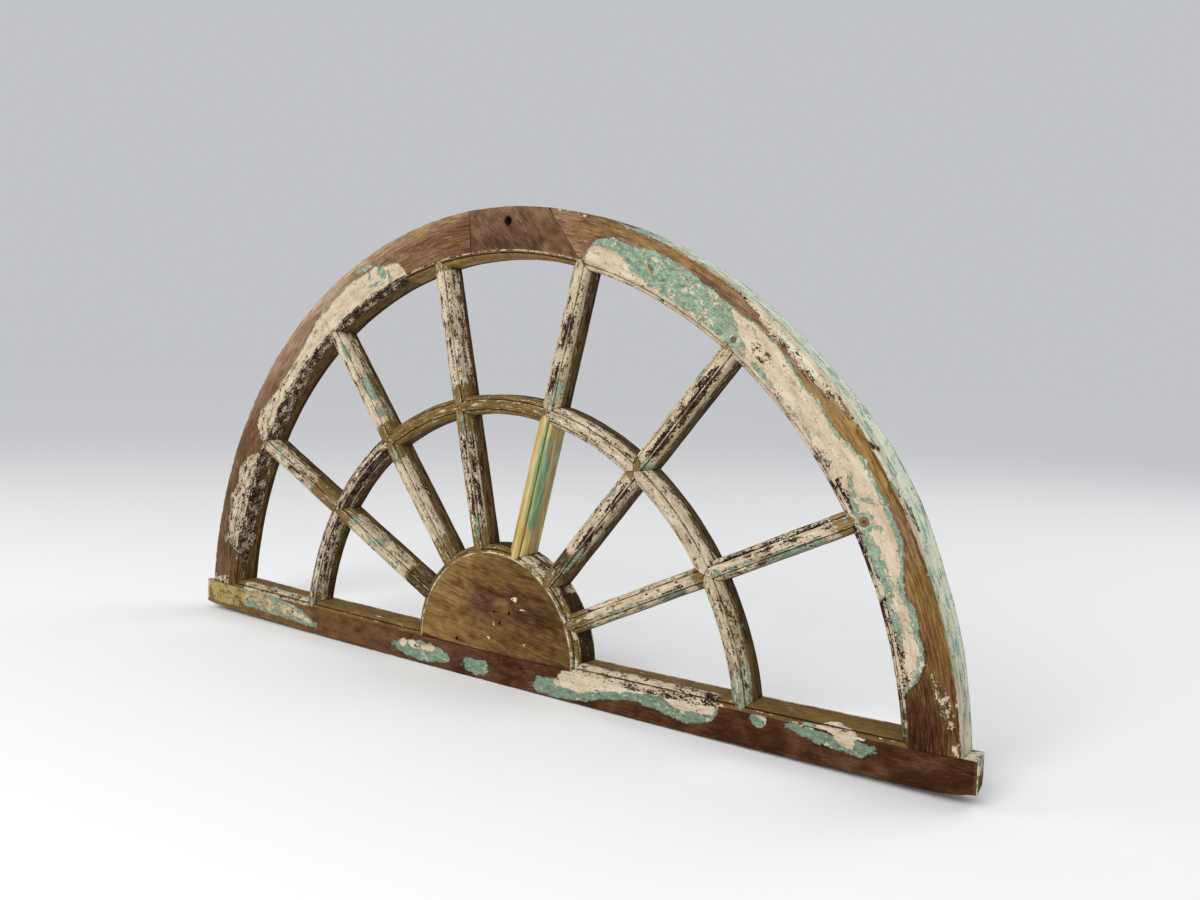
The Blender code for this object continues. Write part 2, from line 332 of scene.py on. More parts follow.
def arch_place(plan, start, end):
    """Place on the arch between two end angles that may depend on the radius."""
    def place(share, across, depth):
        radius = plan.arris + across
        first, last = start(radius), end(radius)
        angle = first + (last - first) * share
        swell = lift(angle) + belly(angle) * max(0.0, across / plan.face) * depth / plan.depth
        loss = 0.5 * rubbed(angle) * max(0.0, across - plan.face + 11.0) * max(0.0, 1.0 - depth / 9.0)
        point = on_circle(plan.arch_z, radius + swell, angle, plan.front + depth + loss)
        return point, -math.radians(angle) * plan.arris
    return place


def bar_place(plan, index, inner):
    """Place on a radial bar, coped to the hub or the arch and mitred at the ring."""
    point, along, tangent = crossing(plan, index)
    hub = Vector((0.0, 0.0, plan.rail_top))
    reach = (point - hub).length
    side = Vector((along.z, 0.0, -along.x))
    leaving = -along if inner else along

    def place(share, across, depth):
        neighbour = tangent if across > 0.0 else -tangent
        cut = mitre(leaving, neighbour, abs(across))
        if inner:
            first = math.sqrt((plan.hub + inset(depth) + GAP) ** 2 - across ** 2)
            last = reach - cut
        else:
            first = reach + cut
            base = hub + side * across - Vector((0.0, 0.0, plan.arch_z))
            middle = along.dot(base)
            limit = plan.arris + lift(BAR_ANGLES[index - 1]) - inset(depth) - GAP
            last = -middle + math.sqrt(middle ** 2 - base.dot(base) + limit ** 2)
        run = first + (last - first) * crowd(share)
        spot = hub + along * run + side * across
        spot.y = plan.front + depth
        return spot, run
    return place


def ring_place(plan, index):
    """Place on one bar of the ring, mitred at its crossings or standing on the rail."""
    def end_angle(neighbour, sign, across, depth):
        radius = plan.ring + across
        if neighbour in (0, len(BAR_ANGLES) + 1):
            foot = plan.rail_top + inset(depth) + GAP - plan.arch_z
            angle = math.degrees(math.asin(foot / radius))
            return 180.0 - angle if neighbour == 0 else angle
        point, along, tangent = crossing(plan, neighbour)
        centre = bearing(point, plan.arch_z)
        other = along if across > 0.0 else -along
        cut = mitre(tangent * -sign, other, abs(across))
        return centre + sign * math.degrees(cut / radius)

    def place(share, across, depth):
        first = end_angle(index - 1, -1.0, across, depth)
        last = end_angle(index, 1.0, across, depth)
        angle = first + (last - first) * crowd(share)
        spot = on_circle(plan.arch_z, plan.ring + across, angle, plan.front + depth)
        return spot, -math.radians(angle) * plan.ring
    return place


def hub_place(plan):
    """Place on the hub, swept over half a turn."""
    def place(share, across, depth):
        spot = on_circle(plan.rail_top, across, 180.0 - 180.0 * share, plan.front + depth)
        spot.z = max(spot.z, plan.rail_top + GAP)
        return spot, spot.x
    return place


def rail_place(plan):
    """Place along the rail."""
    def place(share, across, depth):
        x = plan.half_span * (2.0 * share - 1.0)
        worn = between(x, (
            (-716, 3.0), (-700, 1.0), (-670, 0.0), (670, 0.0), (696, 2.5), (716, 6.5)))
        low = max(0.0, 1.0 - across / 22.0)
        x -= 8.0 * depth / plan.depth * between(x, ((690, 0.0), (716, 1.0)))
        return Vector((x, plan.front + depth, across + worn * low)), x
    return place


def strip_place(plan, side):
    """Place along a moulded strip, coped to the limb at one end and the hub at the other."""
    def place(share, across, depth):
        limit = plan.arris - inset(depth) - GAP
        limb = math.sqrt(limit ** 2 - (across - plan.arch_z) ** 2)
        rise = max(0.0, across - plan.rail_top)
        hub = math.sqrt((plan.hub + inset(depth) + GAP) ** 2 - rise ** 2)
        x = side * (limb + (hub - limb) * (share if side < 0 else 1.0 - share))
        return Vector((x, plan.front + depth, across)), x
    return place


# ------------------------------------------------------------------ wear

def away_from(spot, start, end):
    """How far a spot in the face lies from a line, and its share along it, all as (x, z)."""
    run = end - start
    share = 0.0
    if run.length_squared > 0.0:
        share = min(1.0, max(0.0, (spot - start).dot(run) / run.length_squared))
    return (spot - start - run * share).length, share


def scar(bm, plan, start, end, width, depth):
    """Sink a groove, or a pit where start and end are the same, into the front face."""
    start, end = Vector(start), Vector(end)
    reach = width + PITCH

    def near(vert, limit):
        if vert.co.y > plan.front + 2.5:
            return False
        return away_from(Vector((vert.co.x, vert.co.z)), start, end)[0] < limit

    edges = [edge for edge in bm.edges if all(near(vert, reach) for vert in edge.verts)]
    if not edges:
        raise RuntimeError("a scar at %s misses the timber" % (tuple(start),))
    bmesh.ops.subdivide_edges(bm, edges=edges, cuts=4, use_grid_fill=True)
    for vert in bm.verts:
        if near(vert, width):
            away, share = away_from(Vector((vert.co.x, vert.co.z)), start, end)
            taper = 1.0 if start == end else min(1.0, 0.25 + 2.0 * share * (1.0 - share) + share)
            vert.co.y += depth * taper * min(1.0, 1.6 * (1.0 - (away / width) ** 2))


def ruffle(bm, amount, chipped=None):
    """Uneven surfaces, and chips along the arrises that 'chipped' picks out."""
    spots = bm.verts.layers.float_vector["spot"]
    bm.normal_update()
    moves = []
    for vert in bm.verts:
        spot = vert[spots]
        move = amount * noise.noise(spot / 38.0) + 0.35 * amount * noise.noise(spot / 9.0)
        move += 0.25 * amount * mottle(spot.x / 30.0, spot.y / 2.5, spot.z / 2.5)
        if chipped:
            loss = chipped(spot)
            if loss > 0.0:
                chip = noise.noise(spot / 14.0) + 0.5 * noise.noise(spot / 5.0)
                move -= loss * (0.2 + max(0.0, chip) * 1.6)
        moves.append((vert, vert.normal * move))
    for vert, move in moves:
        vert.co += move


# ------------------------------------------------------------------ paint fields

def between(value, table):
    """Straight-line reading of a table of (key, value) pairs with rising keys."""
    if value <= table[0][0]:
        return table[0][1]
    for (key, low), (after, high) in zip(table, table[1:]):
        if value <= after:
            return low + (high - low) * (value - key) / (after - key)
    return table[-1][1]


def mottle(along, across, through):
    """Smooth noise about 0 at a place given in cells of the pattern."""
    return noise.noise(Vector((along, across, through)))


def blob(x, z, shape):
    """How far inside a leaning oval a spot lies: (x, z, half length, half width, lean)."""
    centre_x, centre_z, length, width, lean = shape
    turn = math.radians(lean)
    dx, dz = x - centre_x, z - centre_z
    run = dx * math.cos(turn) + dz * math.sin(turn)
    off = dz * math.cos(turn) - dx * math.sin(turn)
    return (1.0 - math.hypot(run / length, off / width)) * min(length, width)


def deepest(x, z, shapes):
    """How far inside the nearest of several leaning ovals a spot lies."""
    return max(blob(x, z, shape) for shape in shapes)


def patch(angle, radius, table):
    """How far inside a patch a spot lies; the table gives its outer edge by rising angle."""
    arc = math.radians(1.0) * radius
    edge = between(angle, table) - radius
    return min(edge, (angle - table[0][0]) * arc, (table[-1][0] - angle) * arc)


class Coat:
    """What one spot of timber wears: depth inside each paint film, flaking, grime and tone.

    The tint turns the cream towards ochre (-1) or mint (1); gold turns the timber from red-brown
    (0) to golden (1).
    """
    __slots__ = ("cream", "green", "flake", "grime", "tone", "tint", "gold")

    def __init__(self, cream=BARE, green=BARE, flake=0.0, grime=0.0, tone=0.6, tint=0.0, gold=0.3):
        self.cream, self.green = cream, green
        self.flake, self.grime, self.tone = flake, grime, tone
        self.tint, self.gold = tint, gold

    def add_cream(self, depth):
        """Lay more cream where it reaches deeper than what is there."""
        self.cream = max(self.cream, depth)

    def add_green(self, depth):
        """Lay more green where it reaches deeper than what is there."""
        self.green = max(self.green, depth)

    def keep_cream(self, most):
        """Leave no more cream than this."""
        self.cream = min(self.cream, most)

    def keep_green(self, most):
        """Leave no more green than this."""
        self.green = min(self.green, most)

    def cut_cream(self, depth):
        """Take cream off down to a depth."""
        self.keep_cream(-depth)

    def set(self, **fields):
        """Set several fields at once."""
        for name, value in fields.items():
            setattr(self, name, value)

    def strip(self, tone):
        """No paint at all, only timber of one tone."""
        self.cream = self.green = BARE
        self.tone, self.grime = tone, 0.1


def in_quirk(depth):
    """Whether a depth is the bottom of the narrow groove in the moulding."""
    return QUIRK_FALL + 1.5 < depth < QUIRK_FALL + 1.75


# Paint on the limbs, seen from the front. Patches are (angle, radius) along their outer edge,
# spots are leaning ovals, and the other tables give one field by rising angle.
LEFT_PATCHES = (
    ((151.6, 645), (153.5, 665), (156, 678), (158.5, 673), (161, 682), (163, 674), (167.5, 675),
     (168.8, 650)),
    ((107.6, 640), (108.2, 658), (109, 668), (111.5, 673), (113, 681), (116, 682), (118.5, 684),
     (124, 679), (127, 677), (130, 670), (132, 666), (136.5, 662), (140, 664), (142.5, 667),
     (145.5, 676), (148, 672), (149, 652)),
)
RIGHT_PATCH = (
    (10.4, 637), (11.2, 645), (11.7, 655), (12.5, 661), (13.3, 665), (14.4, 670), (17, 668),
    (18.8, 671), (20, 665), (21.7, 666), (23, 675), (25, 681), (27, 682), (29, 683), (31, 682),
    (34, 684), (35.3, 679), (37, 673), (38.7, 671), (41.5, 674), (43.7, 672), (45, 674),
    (47.5, 679), (49, 682), (52, 682), (54, 678), (57, 680), (60, 680), (63, 684), (67, 684),
    (70, 680), (73, 680), (75, 674), (76.4, 655), (76.6, 640),
)
GREEN_LINE = ((628, 50.0), (637, 50.6), (650, 51.2), (664, 53.4), (675, 55.4))
LEFT_GREEN = (
    (-296, 612, 24, 5, 12), (-252, 606, 15, 7, -55), (-264, 587, 17, 4, 10), (-500, 386, 6, 3, 40),
    (-660, 130, 8, 4, 80), (-388, 545, 9, 3, 35), (-272, 572, 8, 3, 20), (-345, 532, 5, 2.5, 35),
    (-280, 600, 4, 8, 0), (-233, 598, 4, 12, 25),
)
RIGHT_GREEN = (
    (431, 464, 17, 5.5, -50), (455, 437, 6, 2.5, -50), (472, 420, 8, 3.5, -60), (491, 397, 22, 3.5, -53),
    (518, 366, 5, 3, -40), (551, 346, 4, 5, 0), (558, 316, 18, 5, -75), (574, 323, 9, 2.5, -10),
    (571, 297, 13, 13, 0), (586, 292, 7, 4, 0), (577, 271, 17, 8, -58), (592, 248, 18, 7.5, -60),
    (601, 230, 13, 6, -64), (605, 211, 12, 3.5, -75), (614, 185, 20, 6.5, -66), (620, 165, 8, 3, -70),
    (635, 131, 6, 2.5, 0), (618, 233, 4, 9, 0), (583, 265, 8, 8, -60),
)
RIGHT_CREAM = (
    (190, 609, 38, 17, -22), (235, 583, 26, 8, -24), (274, 563, 30, 5, -26), (330, 530, 34, 5, -31),
    (172, 612, 20, 16, 20), (407, 516, 12, 12, -40),
)
EDGE_FLAKES = (
    (10, 0.8), (20, 1.0), (21, 0.4), (22.5, 0.4), (23, 1.0), (28.6, 1.0), (29.4, 0.1), (30.2, 1.0),
    (33.7, 1.0), (34.4, 0.2), (35.6, 0.8), (37.0, 0.8), (37.8, 0.3), (52, 0.45), (56, 0.3),
    (75, 0.35),
)
PALE_ARRIS = ((36, 62), (39, 54), (42, 46), (46, 43), (50, 45), (54, 52), (57, 62))
SPECK_CLUSTERS = ((430, 488, 16, 10, -45), (424, 497, 10, 5, 20), (417, 470, 8, 4, 0))
SCAR_GRIME = ((-372, 511, 15, 4, 128), (260, 597, 9, 2, -62), (281, 582, 4, 3, 0))
FOOT_STREAKS = ((668, 119, 20, 4.5, 118), (680, 86, 36, 5.5, 107))
LEFT_FLAKING = ((116, 0.02), (126, 0.15), (134, 0.42), (150, 0.58), (156, 0.66), (170, 0.70))
LEFT_TONE = ((95, -0.07), (101, -0.04), (108, 0.06), (122, 0.18), (134, 0.15), (148, -0.11),
             (172, -0.20))
LEFT_GOLD = ((95, 0.1), (101, 0.35), (108, 0.35), (120, 0.1), (140, -0.05), (172, 0.1))
RIGHT_TONE = ((0, 0.19), (9.0, 0.22), (12, 0.40), (22, 0.54), (32, 0.60), (40, 0.64), (58, 0.63),
              (80, 0.57))
RIGHT_GOLD = ((0, 0.5), (8, 0.3), (13, 0.8), (40, 0.8), (56, 0.6), (74, 0.75), (80, 0.3))


def left_face(plan, point, radius, angle, coat):
    """Front face of the left limb: two patches of cream over green, bare towards the rim."""
    x, z = point.x, point.z
    across = radius - plan.arris
    rough = noise.noise(point / 22.0)
    coat.cream = max(patch(angle, radius, table) for table in LEFT_PATCHES)
    coat.green = coat.cream + (2.0 if rough > 0.0 else -1.5)
    coat.flake = between(angle, LEFT_FLAKING)
    coat.grime = between(angle, ((150, 0.1), (158, 0.4), (170, 0.45)))
    coat.keep_cream(7.0)
    depth = deepest(x, z, LEFT_GREEN)
    coat.add_green(depth)
    if depth > -2.0:
        coat.cut_cream(depth - 0.4)
    # The tone rising past 44 mm out from the arris is a painted highlight along the rim.
    coat.tone = between(across, ((0, 0.52), (30, 0.50), (44, 0.56), (54, 0.68), (60, 0.78)))
    coat.tone += between(angle, LEFT_TONE)
    coat.gold = between(angle, LEFT_GOLD)
    # The gold rising past 44 mm out from the arris belongs to the same painted rim highlight.
    coat.gold += 0.5 * rough + between(across, ((44, 0.0), (58, 0.15)))
    if angle > 171.0 and across > 14.0:
        coat.add_cream(2.0 - 0.5 * abs(z - 52.0) + 6.0 * rough)
        coat.gold = between(angle, ((171.0, 0.1), (174.0, 0.35)))
        coat.tone = between(angle, ((171.0, 0.38), (174.0, 0.46)))


def right_paint(point, radius, angle, whole, rough, coat):
    """Cream and green of the right limb: green near its top, flaking cream below it."""
    x, z = point.x, point.z
    line = (between(radius, GREEN_LINE) - angle) * math.radians(radius)
    coat.green = whole + (2.0 if rough > -0.25 else 0.2)
    coat.cream = min(whole - 1.0, line)
    coat.flake = 0.08
    if line < 4.0:
        speck = between(angle, ((51, -0.5), (60, -0.9), (69, -1.4), (74, -1.9)))
        coat.add_cream(min(whole - 3.0, speck + 1.6 * rough))
        coat.add_cream(min(deepest(x, z, RIGHT_CREAM), whole - 2.0))
    else:
        depth = deepest(x, z, RIGHT_GREEN)
        if depth > -4.0:
            coat.cut_cream(depth * 0.5 - 0.3)
        if whole < 8.0:
            margin = between(angle, ((10, 3.5), (13, 5.0), (26, 5.0), (34, 3.2), (40, 0.8)))
            coat.keep_cream((whole - margin) * 0.7)


def pale_arris(angle, across, coat):
    """Pale, rubbed band along the right limb's outer arris, green at its far edge."""
    beyond = across - between(angle, PALE_ARRIS)
    if not (36.0 < angle < 57.0 and beyond > -4.0):
        return
    fine = mottle(angle * 0.42, across / 1.5, 3.0)
    broad = mottle(angle * 0.25, across / 4.0, 5.0)
    show = min(5.0, beyond * 0.6) + 7.0 * fine + 3.0 * broad
    coat.add_cream(show)
    coat.add_green(show - 3.0 + 4.0 * broad)
    coat.tint = between(beyond, ((0, -0.25), (5, 0.1), (11, 0.65)))
    coat.flake = max(coat.flake, between(beyond, ((0, 0.85), (5, 0.55), (9, 0.25))))
    coat.gold = 0.3


def right_foot(x, z, coat):
    """Last paint on the right limb's foot: two streaks and fine hatching along the grain."""
    streak = deepest(x, z, FOOT_STREAKS)
    hatch = mottle((x * 0.95 + z * 0.31) / 1.7, (z * 0.95 - x * 0.31) / 26.0, 0.0)
    coat.add_cream(min(-0.5, streak * 0.7) + 2.2 * hatch)
    if streak > -3.0:
        coat.set(grime=0.3, flake=0.1, tint=0.12)


def right_face(plan, point, radius, angle, coat):
    """Front face of the right limb."""
    x, z = point.x, point.z
    across = radius - plan.arris
    rough = noise.noise(point / 22.0)
    whole = patch(angle, radius, RIGHT_PATCH)
    right_paint(point, radius, angle, whole, rough, coat)
    if across < 7.0 and angle < 56.0:
        edge = between(angle, EDGE_FLAKES)
        coat.flake = max(coat.flake, edge * (1.0 - across / 12.0) * 1.2)
    if deepest(x, z, SPECK_CLUSTERS) > 0.0:
        coat.flake = 0.62
    if deepest(x, z, SCAR_GRIME) > 0.0:
        coat.cut_cream(4.0)
        coat.green = -4.0
    coat.tone = between(angle, RIGHT_TONE)
    coat.gold = between(angle, RIGHT_GOLD)
    if angle < 10.0:
        coat.tone += between(across, ((30, 0.0), (46, 0.06), (58, 0.14)))
        coat.gold += between(across, ((30, 0.0), (50, 0.5)))
    fringe = -4.0 if angle < 30.0 else -9.0
    if fringe < whole < 0.0 and (55.0 < angle < 62.0 or 70.0 < angle < 77.5 or angle < 30.0):
        coat.set(gold=-0.3, tone=coat.tone - 0.1)
    pale_arris(angle, across, coat)
    if 22.0 < angle < 37.0 and abs(across - plan.face + 3.5 + 3.0 * rough) < 1.7:
        coat.tone -= 0.22
    if across > plan.face - 5.0:
        edge_paint = 2.6 * mottle(angle, 0.0, 4.0)
        coat.add_cream(-1.0 + 0.3 * (across - plan.face) + edge_paint)
        coat.tint = -0.2
    if angle < 13.0:
        right_foot(x, z, coat)


LEFT_MOULDING = ((96, -5), (98, -1.4), (107, -0.8), (110, 2), (150, 2.5), (168, 1.5), (173, -2))
RIGHT_MOULDING = ((2, -4), (8, -1), (11, 4), (75, 4), (78, -6))
INNER_SIDE_PAINT = ((124, 0.0), (132, 14.0), (146, 27.0), (165, 30.0), (172, 14.0))


def moulding_paint(point, angle, depth, rough, fine, coat):
    """Moulding of the two limbs: thick cream on the left, flaking off in chips on the right."""
    on_round = depth > QUIRK_FALL
    if point.x < 0.0:
        coat.cream = between(angle, LEFT_MOULDING) + 3.0 * fine
        coat.flake = 0.96 if on_round else 0.8
        coat.green = coat.cream - 1.5 + 3.0 * rough
        coat.set(tone=0.3, gold=0.7, grime=0.5)
    else:
        coat.cream = between(angle, RIGHT_MOULDING) + 2.0 * rough
        coat.flake = between(angle, EDGE_FLAKES) * (1.0 if on_round else 0.6) + 0.5 * fine
        coat.green = coat.cream + 1.5 * noise.noise(point / 9.0)
        coat.set(tone=0.3, grime=0.4, gold=0.9)
    # The bottom of the quirk is made dark: painted shade in the groove.
    if in_quirk(depth):
        coat.keep_cream(-0.8 + 2.5 * fine)
        coat.set(tone=0.08, grime=0.0)


def crown_moulding(depth, rough, coat):
    """Moulding of the crown: bare, with a little cream left on its arris."""
    above_round = depth < QUIRK_FALL
    coat.strip(0.5 if above_round else 0.56)
    coat.gold = 0.5 if above_round else 1.2
    if depth < 1.0:
        coat.cream = 0.9 + 2.2 * rough
    elif in_quirk(depth):
        # Painted shade in the quirk.
        coat.tone = 0.05


def moulded_edge(plan, point, angle, depth, coat):
    """Moulding and inner side of the arch."""
    rough = noise.noise(point / 16.0)
    fine = mottle(angle * 0.7, depth / 3.0, 1.0)
    on_crown = between(angle, ((75, 0.0), (78, 1.0), (106, 1.0), (110, 0.0))) > 0.5
    if depth < MOULD_DEPTH:
        moulding_paint(point, angle, depth, rough, fine, coat)
        if on_crown:
            crown_moulding(depth, rough, coat)
        return
    # The inner side is made dark, with heavy grime: dirty timber, and painted shade on the side that faces
    # into the opening.
    coat.cream = -3.5 + 4.0 * fine
    coat.flake = 0.75
    coat.green = -3.5 + 3.0 * rough
    coat.set(grime=0.9, tone=0.24, gold=0.9)
    if depth < between(angle, INNER_SIDE_PAINT):
        coat.set(cream=0.8 + 2.6 * rough + 2.4 * fine, flake=0.95, grime=0.4)
        coat.green = -1.4 + 3.0 * rough
    if on_crown:
        coat.strip(0.66)
        coat.set(gold=1.2, grime=0.2)
        coat.green = -2.6 + 2.0 * fine
    # Near black at the back: putty stain, and painted shade of the rebate.
    if depth > plan.depth - PUTTY_AND_SHADE_BAND:
        coat.strip(0.08)


def arch_rim(angle, depth, coat):
    """Outer rim of the arch: thin pale wash with turquoise streaks, bare nearer the left."""
    streak = mottle(angle * 0.16, depth / 6.0, 0.0)
    fine = mottle(angle * 0.45, depth / 3.2, 7.0)
    coat.gold = 0.8
    if angle >= 77.0:
        coat.tone = 0.60 + 0.2 * streak
        coat.green = between(angle, ((77, -2.4), (90, -1.6))) + 4.0 * fine
        smear = between(angle, ((77, -4.0), (80, -0.6), (85, -0.6), (90, -5.0)))
        coat.cream = max(-2.6 + 4.0 * streak, smear - 0.06 * depth + 5.0 * fine)
        coat.set(grime=0.35, tint=0.2)
        return
    coat.cream = between(angle, ((0, 2.4), (8, 2.8), (60, 2.6), (68, 0.6), (76, -3.0)))
    coat.cream += 2.6 * streak
    coat.green = between(angle, ((0, 2.0), (64, 2.0), (71, 0.0), (77, -2.4))) + 5.0 * fine
    if fine > 0.12:
        coat.cut_cream((fine - 0.24) * 9.0)
    coat.set(flake=0.12, tone=0.55, grime=0.12)
    coat.tint = 0.8 + 1.2 * streak + between(depth, ((0, -0.6), (9, -0.2), (42, 0.4)))
    coat.tint -= between(angle, ((0, 0.6), (10, 0.5), (16, 0.1), (26, 0.0)))
    coat.tint = max(coat.tint, 0.1)
    if depth < between(angle, ((10, 0.0), (12, 1.8), (22, 1.8), (24, 0.0))):
        coat.cut_cream(1.5)
        coat.set(green=2.5, tint=0.8, tone=0.6)
    if 25.5 < angle < 30.0 and depth < 16.0:
        smear = 2.0 - abs(depth - between(angle, ((25.5, 13.0), (30, 4.0))))
        coat.cut_cream(smear + 7.0 * fine)
        coat.set(green=-1.0 + 6.0 * fine, tone=0.42, gold=0.2)
    if abs(angle - 34.8 + 0.05 * depth) < 0.35 - 0.025 * depth:
        coat.strip(0.14)


def arch_coat(plan, point, spot):
    """Paint, wear and tone of one point of the arch."""
    across, depth = spot.y, spot.z
    angle = bearing(point, plan.arch_z)
    radius = math.hypot(point.x, point.z - plan.arch_z)
    coat = Coat()
    if depth > plan.depth - FRAME_SKIN:
        plain_back(spot.x, spot.y, coat)
    elif across > plan.face - 1.2:
        arch_rim(angle, depth, coat)
    elif across >= -0.3 and depth < 1.5:
        face = left_face if point.x < 0.0 else right_face
        face(plan, point, radius, angle, coat)
    else:
        moulded_edge(plan, point, angle, depth, coat)
    return coat


def crown_coat(plan, point, spot):
    """Paint, wear and tone of one point of the crown piece."""
    coat = arch_coat(plan, point, spot)
    across, depth = spot.y, spot.z
    if depth < 1.5 and across > -0.3:
        coat.strip(0.40)
        cloud = mottle(point.x / 24.0, point.z / 18.0, 2.0)
        cloud += 0.5 * mottle(point.x / 8.0, point.z / 8.0, 5.0)
        coat.tone += 0.26 * cloud + between(across, ((0, -0.04), (40, 0.0), (60, 0.08)))
        coat.gold = 0.1 + 0.7 * mottle(point.x / 24.0, point.z / 24.0, 9.0)
        coat.gold += between(point.x, ((40, 0.0), (90, 0.3)))
        shade = math.hypot((point.x - 58.0) / 46.0, (point.z - 650.0) / 26.0)
        coat.tone -= 0.10 * max(0.0, 1.0 - shade)
        if noise.noise(point / 3.2) > 0.66 and across < 34.0:
            coat.cream = 1.0
        if math.hypot(point.x - 12.0, point.z - 672.0) < 8.2:
            coat.set(green=0.4, tone=0.2)
    return coat


def plain_back(along, across, coat):
    """Backs, which are plainer: thin old cream over green, worn through along the grain."""
    broad_wear = mottle(along / 190.0, across / 60.0, 6.0)
    long_wear = mottle(along / 110.0, across / 10.0, 4.0)
    short_wear = mottle(along / 30.0, across / 3.6, 8.0)
    coat.cream = 1.2 + 6.0 * broad_wear + 3.0 * long_wear + 1.8 * short_wear
    coat.green = coat.cream + 0.5 + 2.0 * mottle(along / 60.0, across / 8.0, 2.0)
    coat.set(flake=0.40, grime=0.5, tint=-0.12)
    coat.set(tone=0.40 + 0.2 * long_wear, gold=0.6 + 0.6 * broad_wear)


# Paint on the rail: lower and upper edges of its stretches as (x, z), spots as leaning ovals.
RAIL_CREAM_LOW = ((112, 60), (116, 27), (122, 20), (165, 17), (190, 24), (220, 30), (262, 37),
                  (300, 40), (318, 31), (330, 27), (378, 30), (386, 38), (389, 60))
RAIL_GREEN_LOW = ((74, 60), (76, 22), (84, 8), (125, 2), (175, 7), (215, 19), (260, 25), (300, 18),
                  (340, 12), (376, 20), (388, 36), (391, 60))
RAIL_GREEN = ((-150, 20, 62, 15, 0), (-32, 18, 27, 12, 0), (103, 17, 26, 12, 8), (445, 38, 12, 9, 0),
              (536, 33, 52, 8, -8), (578, 30, 20, 9, 4))
RAIL_CREAM = ((-190, 26, 9, 7, 30), (-165, 27, 14, 6, -10), (-134, 27, 17, 5, 5), (446, 46, 9, 4, 0),
              (550, 50, 34, 10, -8), (558, 38, 16, 8, -24))
RAIL_SPECKS = (-158, 27, 10, 5, 0)
RAIL_LEFT_TOP = ((-640, 52), (-600, 52), (-540, 46), (-480, 41), (-440, 34), (-420, 24), (-404, 18))
RAIL_TONE = ((-716, 0.7), (-640, 0.5), (-400, 0.42), (-200, 0.36), (0, 0.30), (200, 0.26),
             (480, 0.25), (716, 0.20))
RAIL_GOLD = ((-640, 0.8), (-400, 0.55), (-200, 0.4), (0, 0.15), (200, 0.15), (716, 0.25))


def rail_left_paint(x, z, rough, coat):
    """Left end of the rail: green with flaked cream on it, yellowed towards the very end."""
    low = between(x, ((-640, 16), (-600, 14), (-500, 12), (-405, 10)))
    body = min(x + 640.0, z - low, between(x, RAIL_LEFT_TOP) - z)
    coat.add_green(body)
    if body > 2.0:
        coat.add_cream(min(0.9, (body - 5.5) * 0.4) + 2.6 * rough)
        coat.set(flake=0.5, tint=between(x, ((-620, -0.6), (-500, -0.35), (-440, 0.0))))
        coat.grime = 0.35


def rail_face(point, coat):
    """Front face of the rail."""
    x, z = point.x, point.z
    rough = noise.noise(point / 18.0)
    coat.tone = between(x, RAIL_TONE) + 0.06 * rough
    coat.gold = between(x, RAIL_GOLD) + 0.25 * mottle(x / 60.0, z / 9.0, 6.0)
    if 112.0 < x < 389.0:
        lean = x - 112.0 - 0.9 * max(0.0, z - 20.0)
        coat.cream = min(z - between(x, RAIL_CREAM_LOW), lean * 0.4, (388.0 - x) * 0.5) + 2.4 * rough
        coat.flake = 0.25
        if z > 38.0:
            coat.flake = between(x, ((112, 0.3), (180, 0.45), (250, 0.65), (388, 0.8)))
    if 74.0 < x < 391.0:
        top = between(x, ((80, 14), (98, 26), (128, 32), (138, 37), (146, 60)))
        coat.green = min(z - between(x, RAIL_GREEN_LOW), x - 75.0, 391.0 - x, top - z)
    wander = 3.0 * noise.noise(point / 11.0)
    coat.add_green((deepest(x, z, RAIL_GREEN) + wander) * 1.1)
    coat.add_cream(deepest(x, z, RAIL_CREAM) * 1.2)
    if blob(x, z, RAIL_SPECKS) > 0.0:
        coat.flake = 0.75
    if x < -400.0:
        rail_left_paint(x, z, rough, coat)
        if x < -606.0 + 22.0 * rough:
            coat.add_cream(min((-616.0 - x) * 0.2, z - 4.0, 1.0) + 2.0 * rough)
            coat.set(grime=0.5, flake=0.3)
            coat.tint = -0.95 + 0.6 * noise.noise(point / 7.0)
            coat.keep_green(0.3 + 2.0 * rough)
        if z < 12.0:
            coat.keep_cream(z - 8.0 + 3.0 * rough)


STRIP_TONE = ((-600, 0.46), (0, 0.47), (400, 0.45), (716, 0.38))


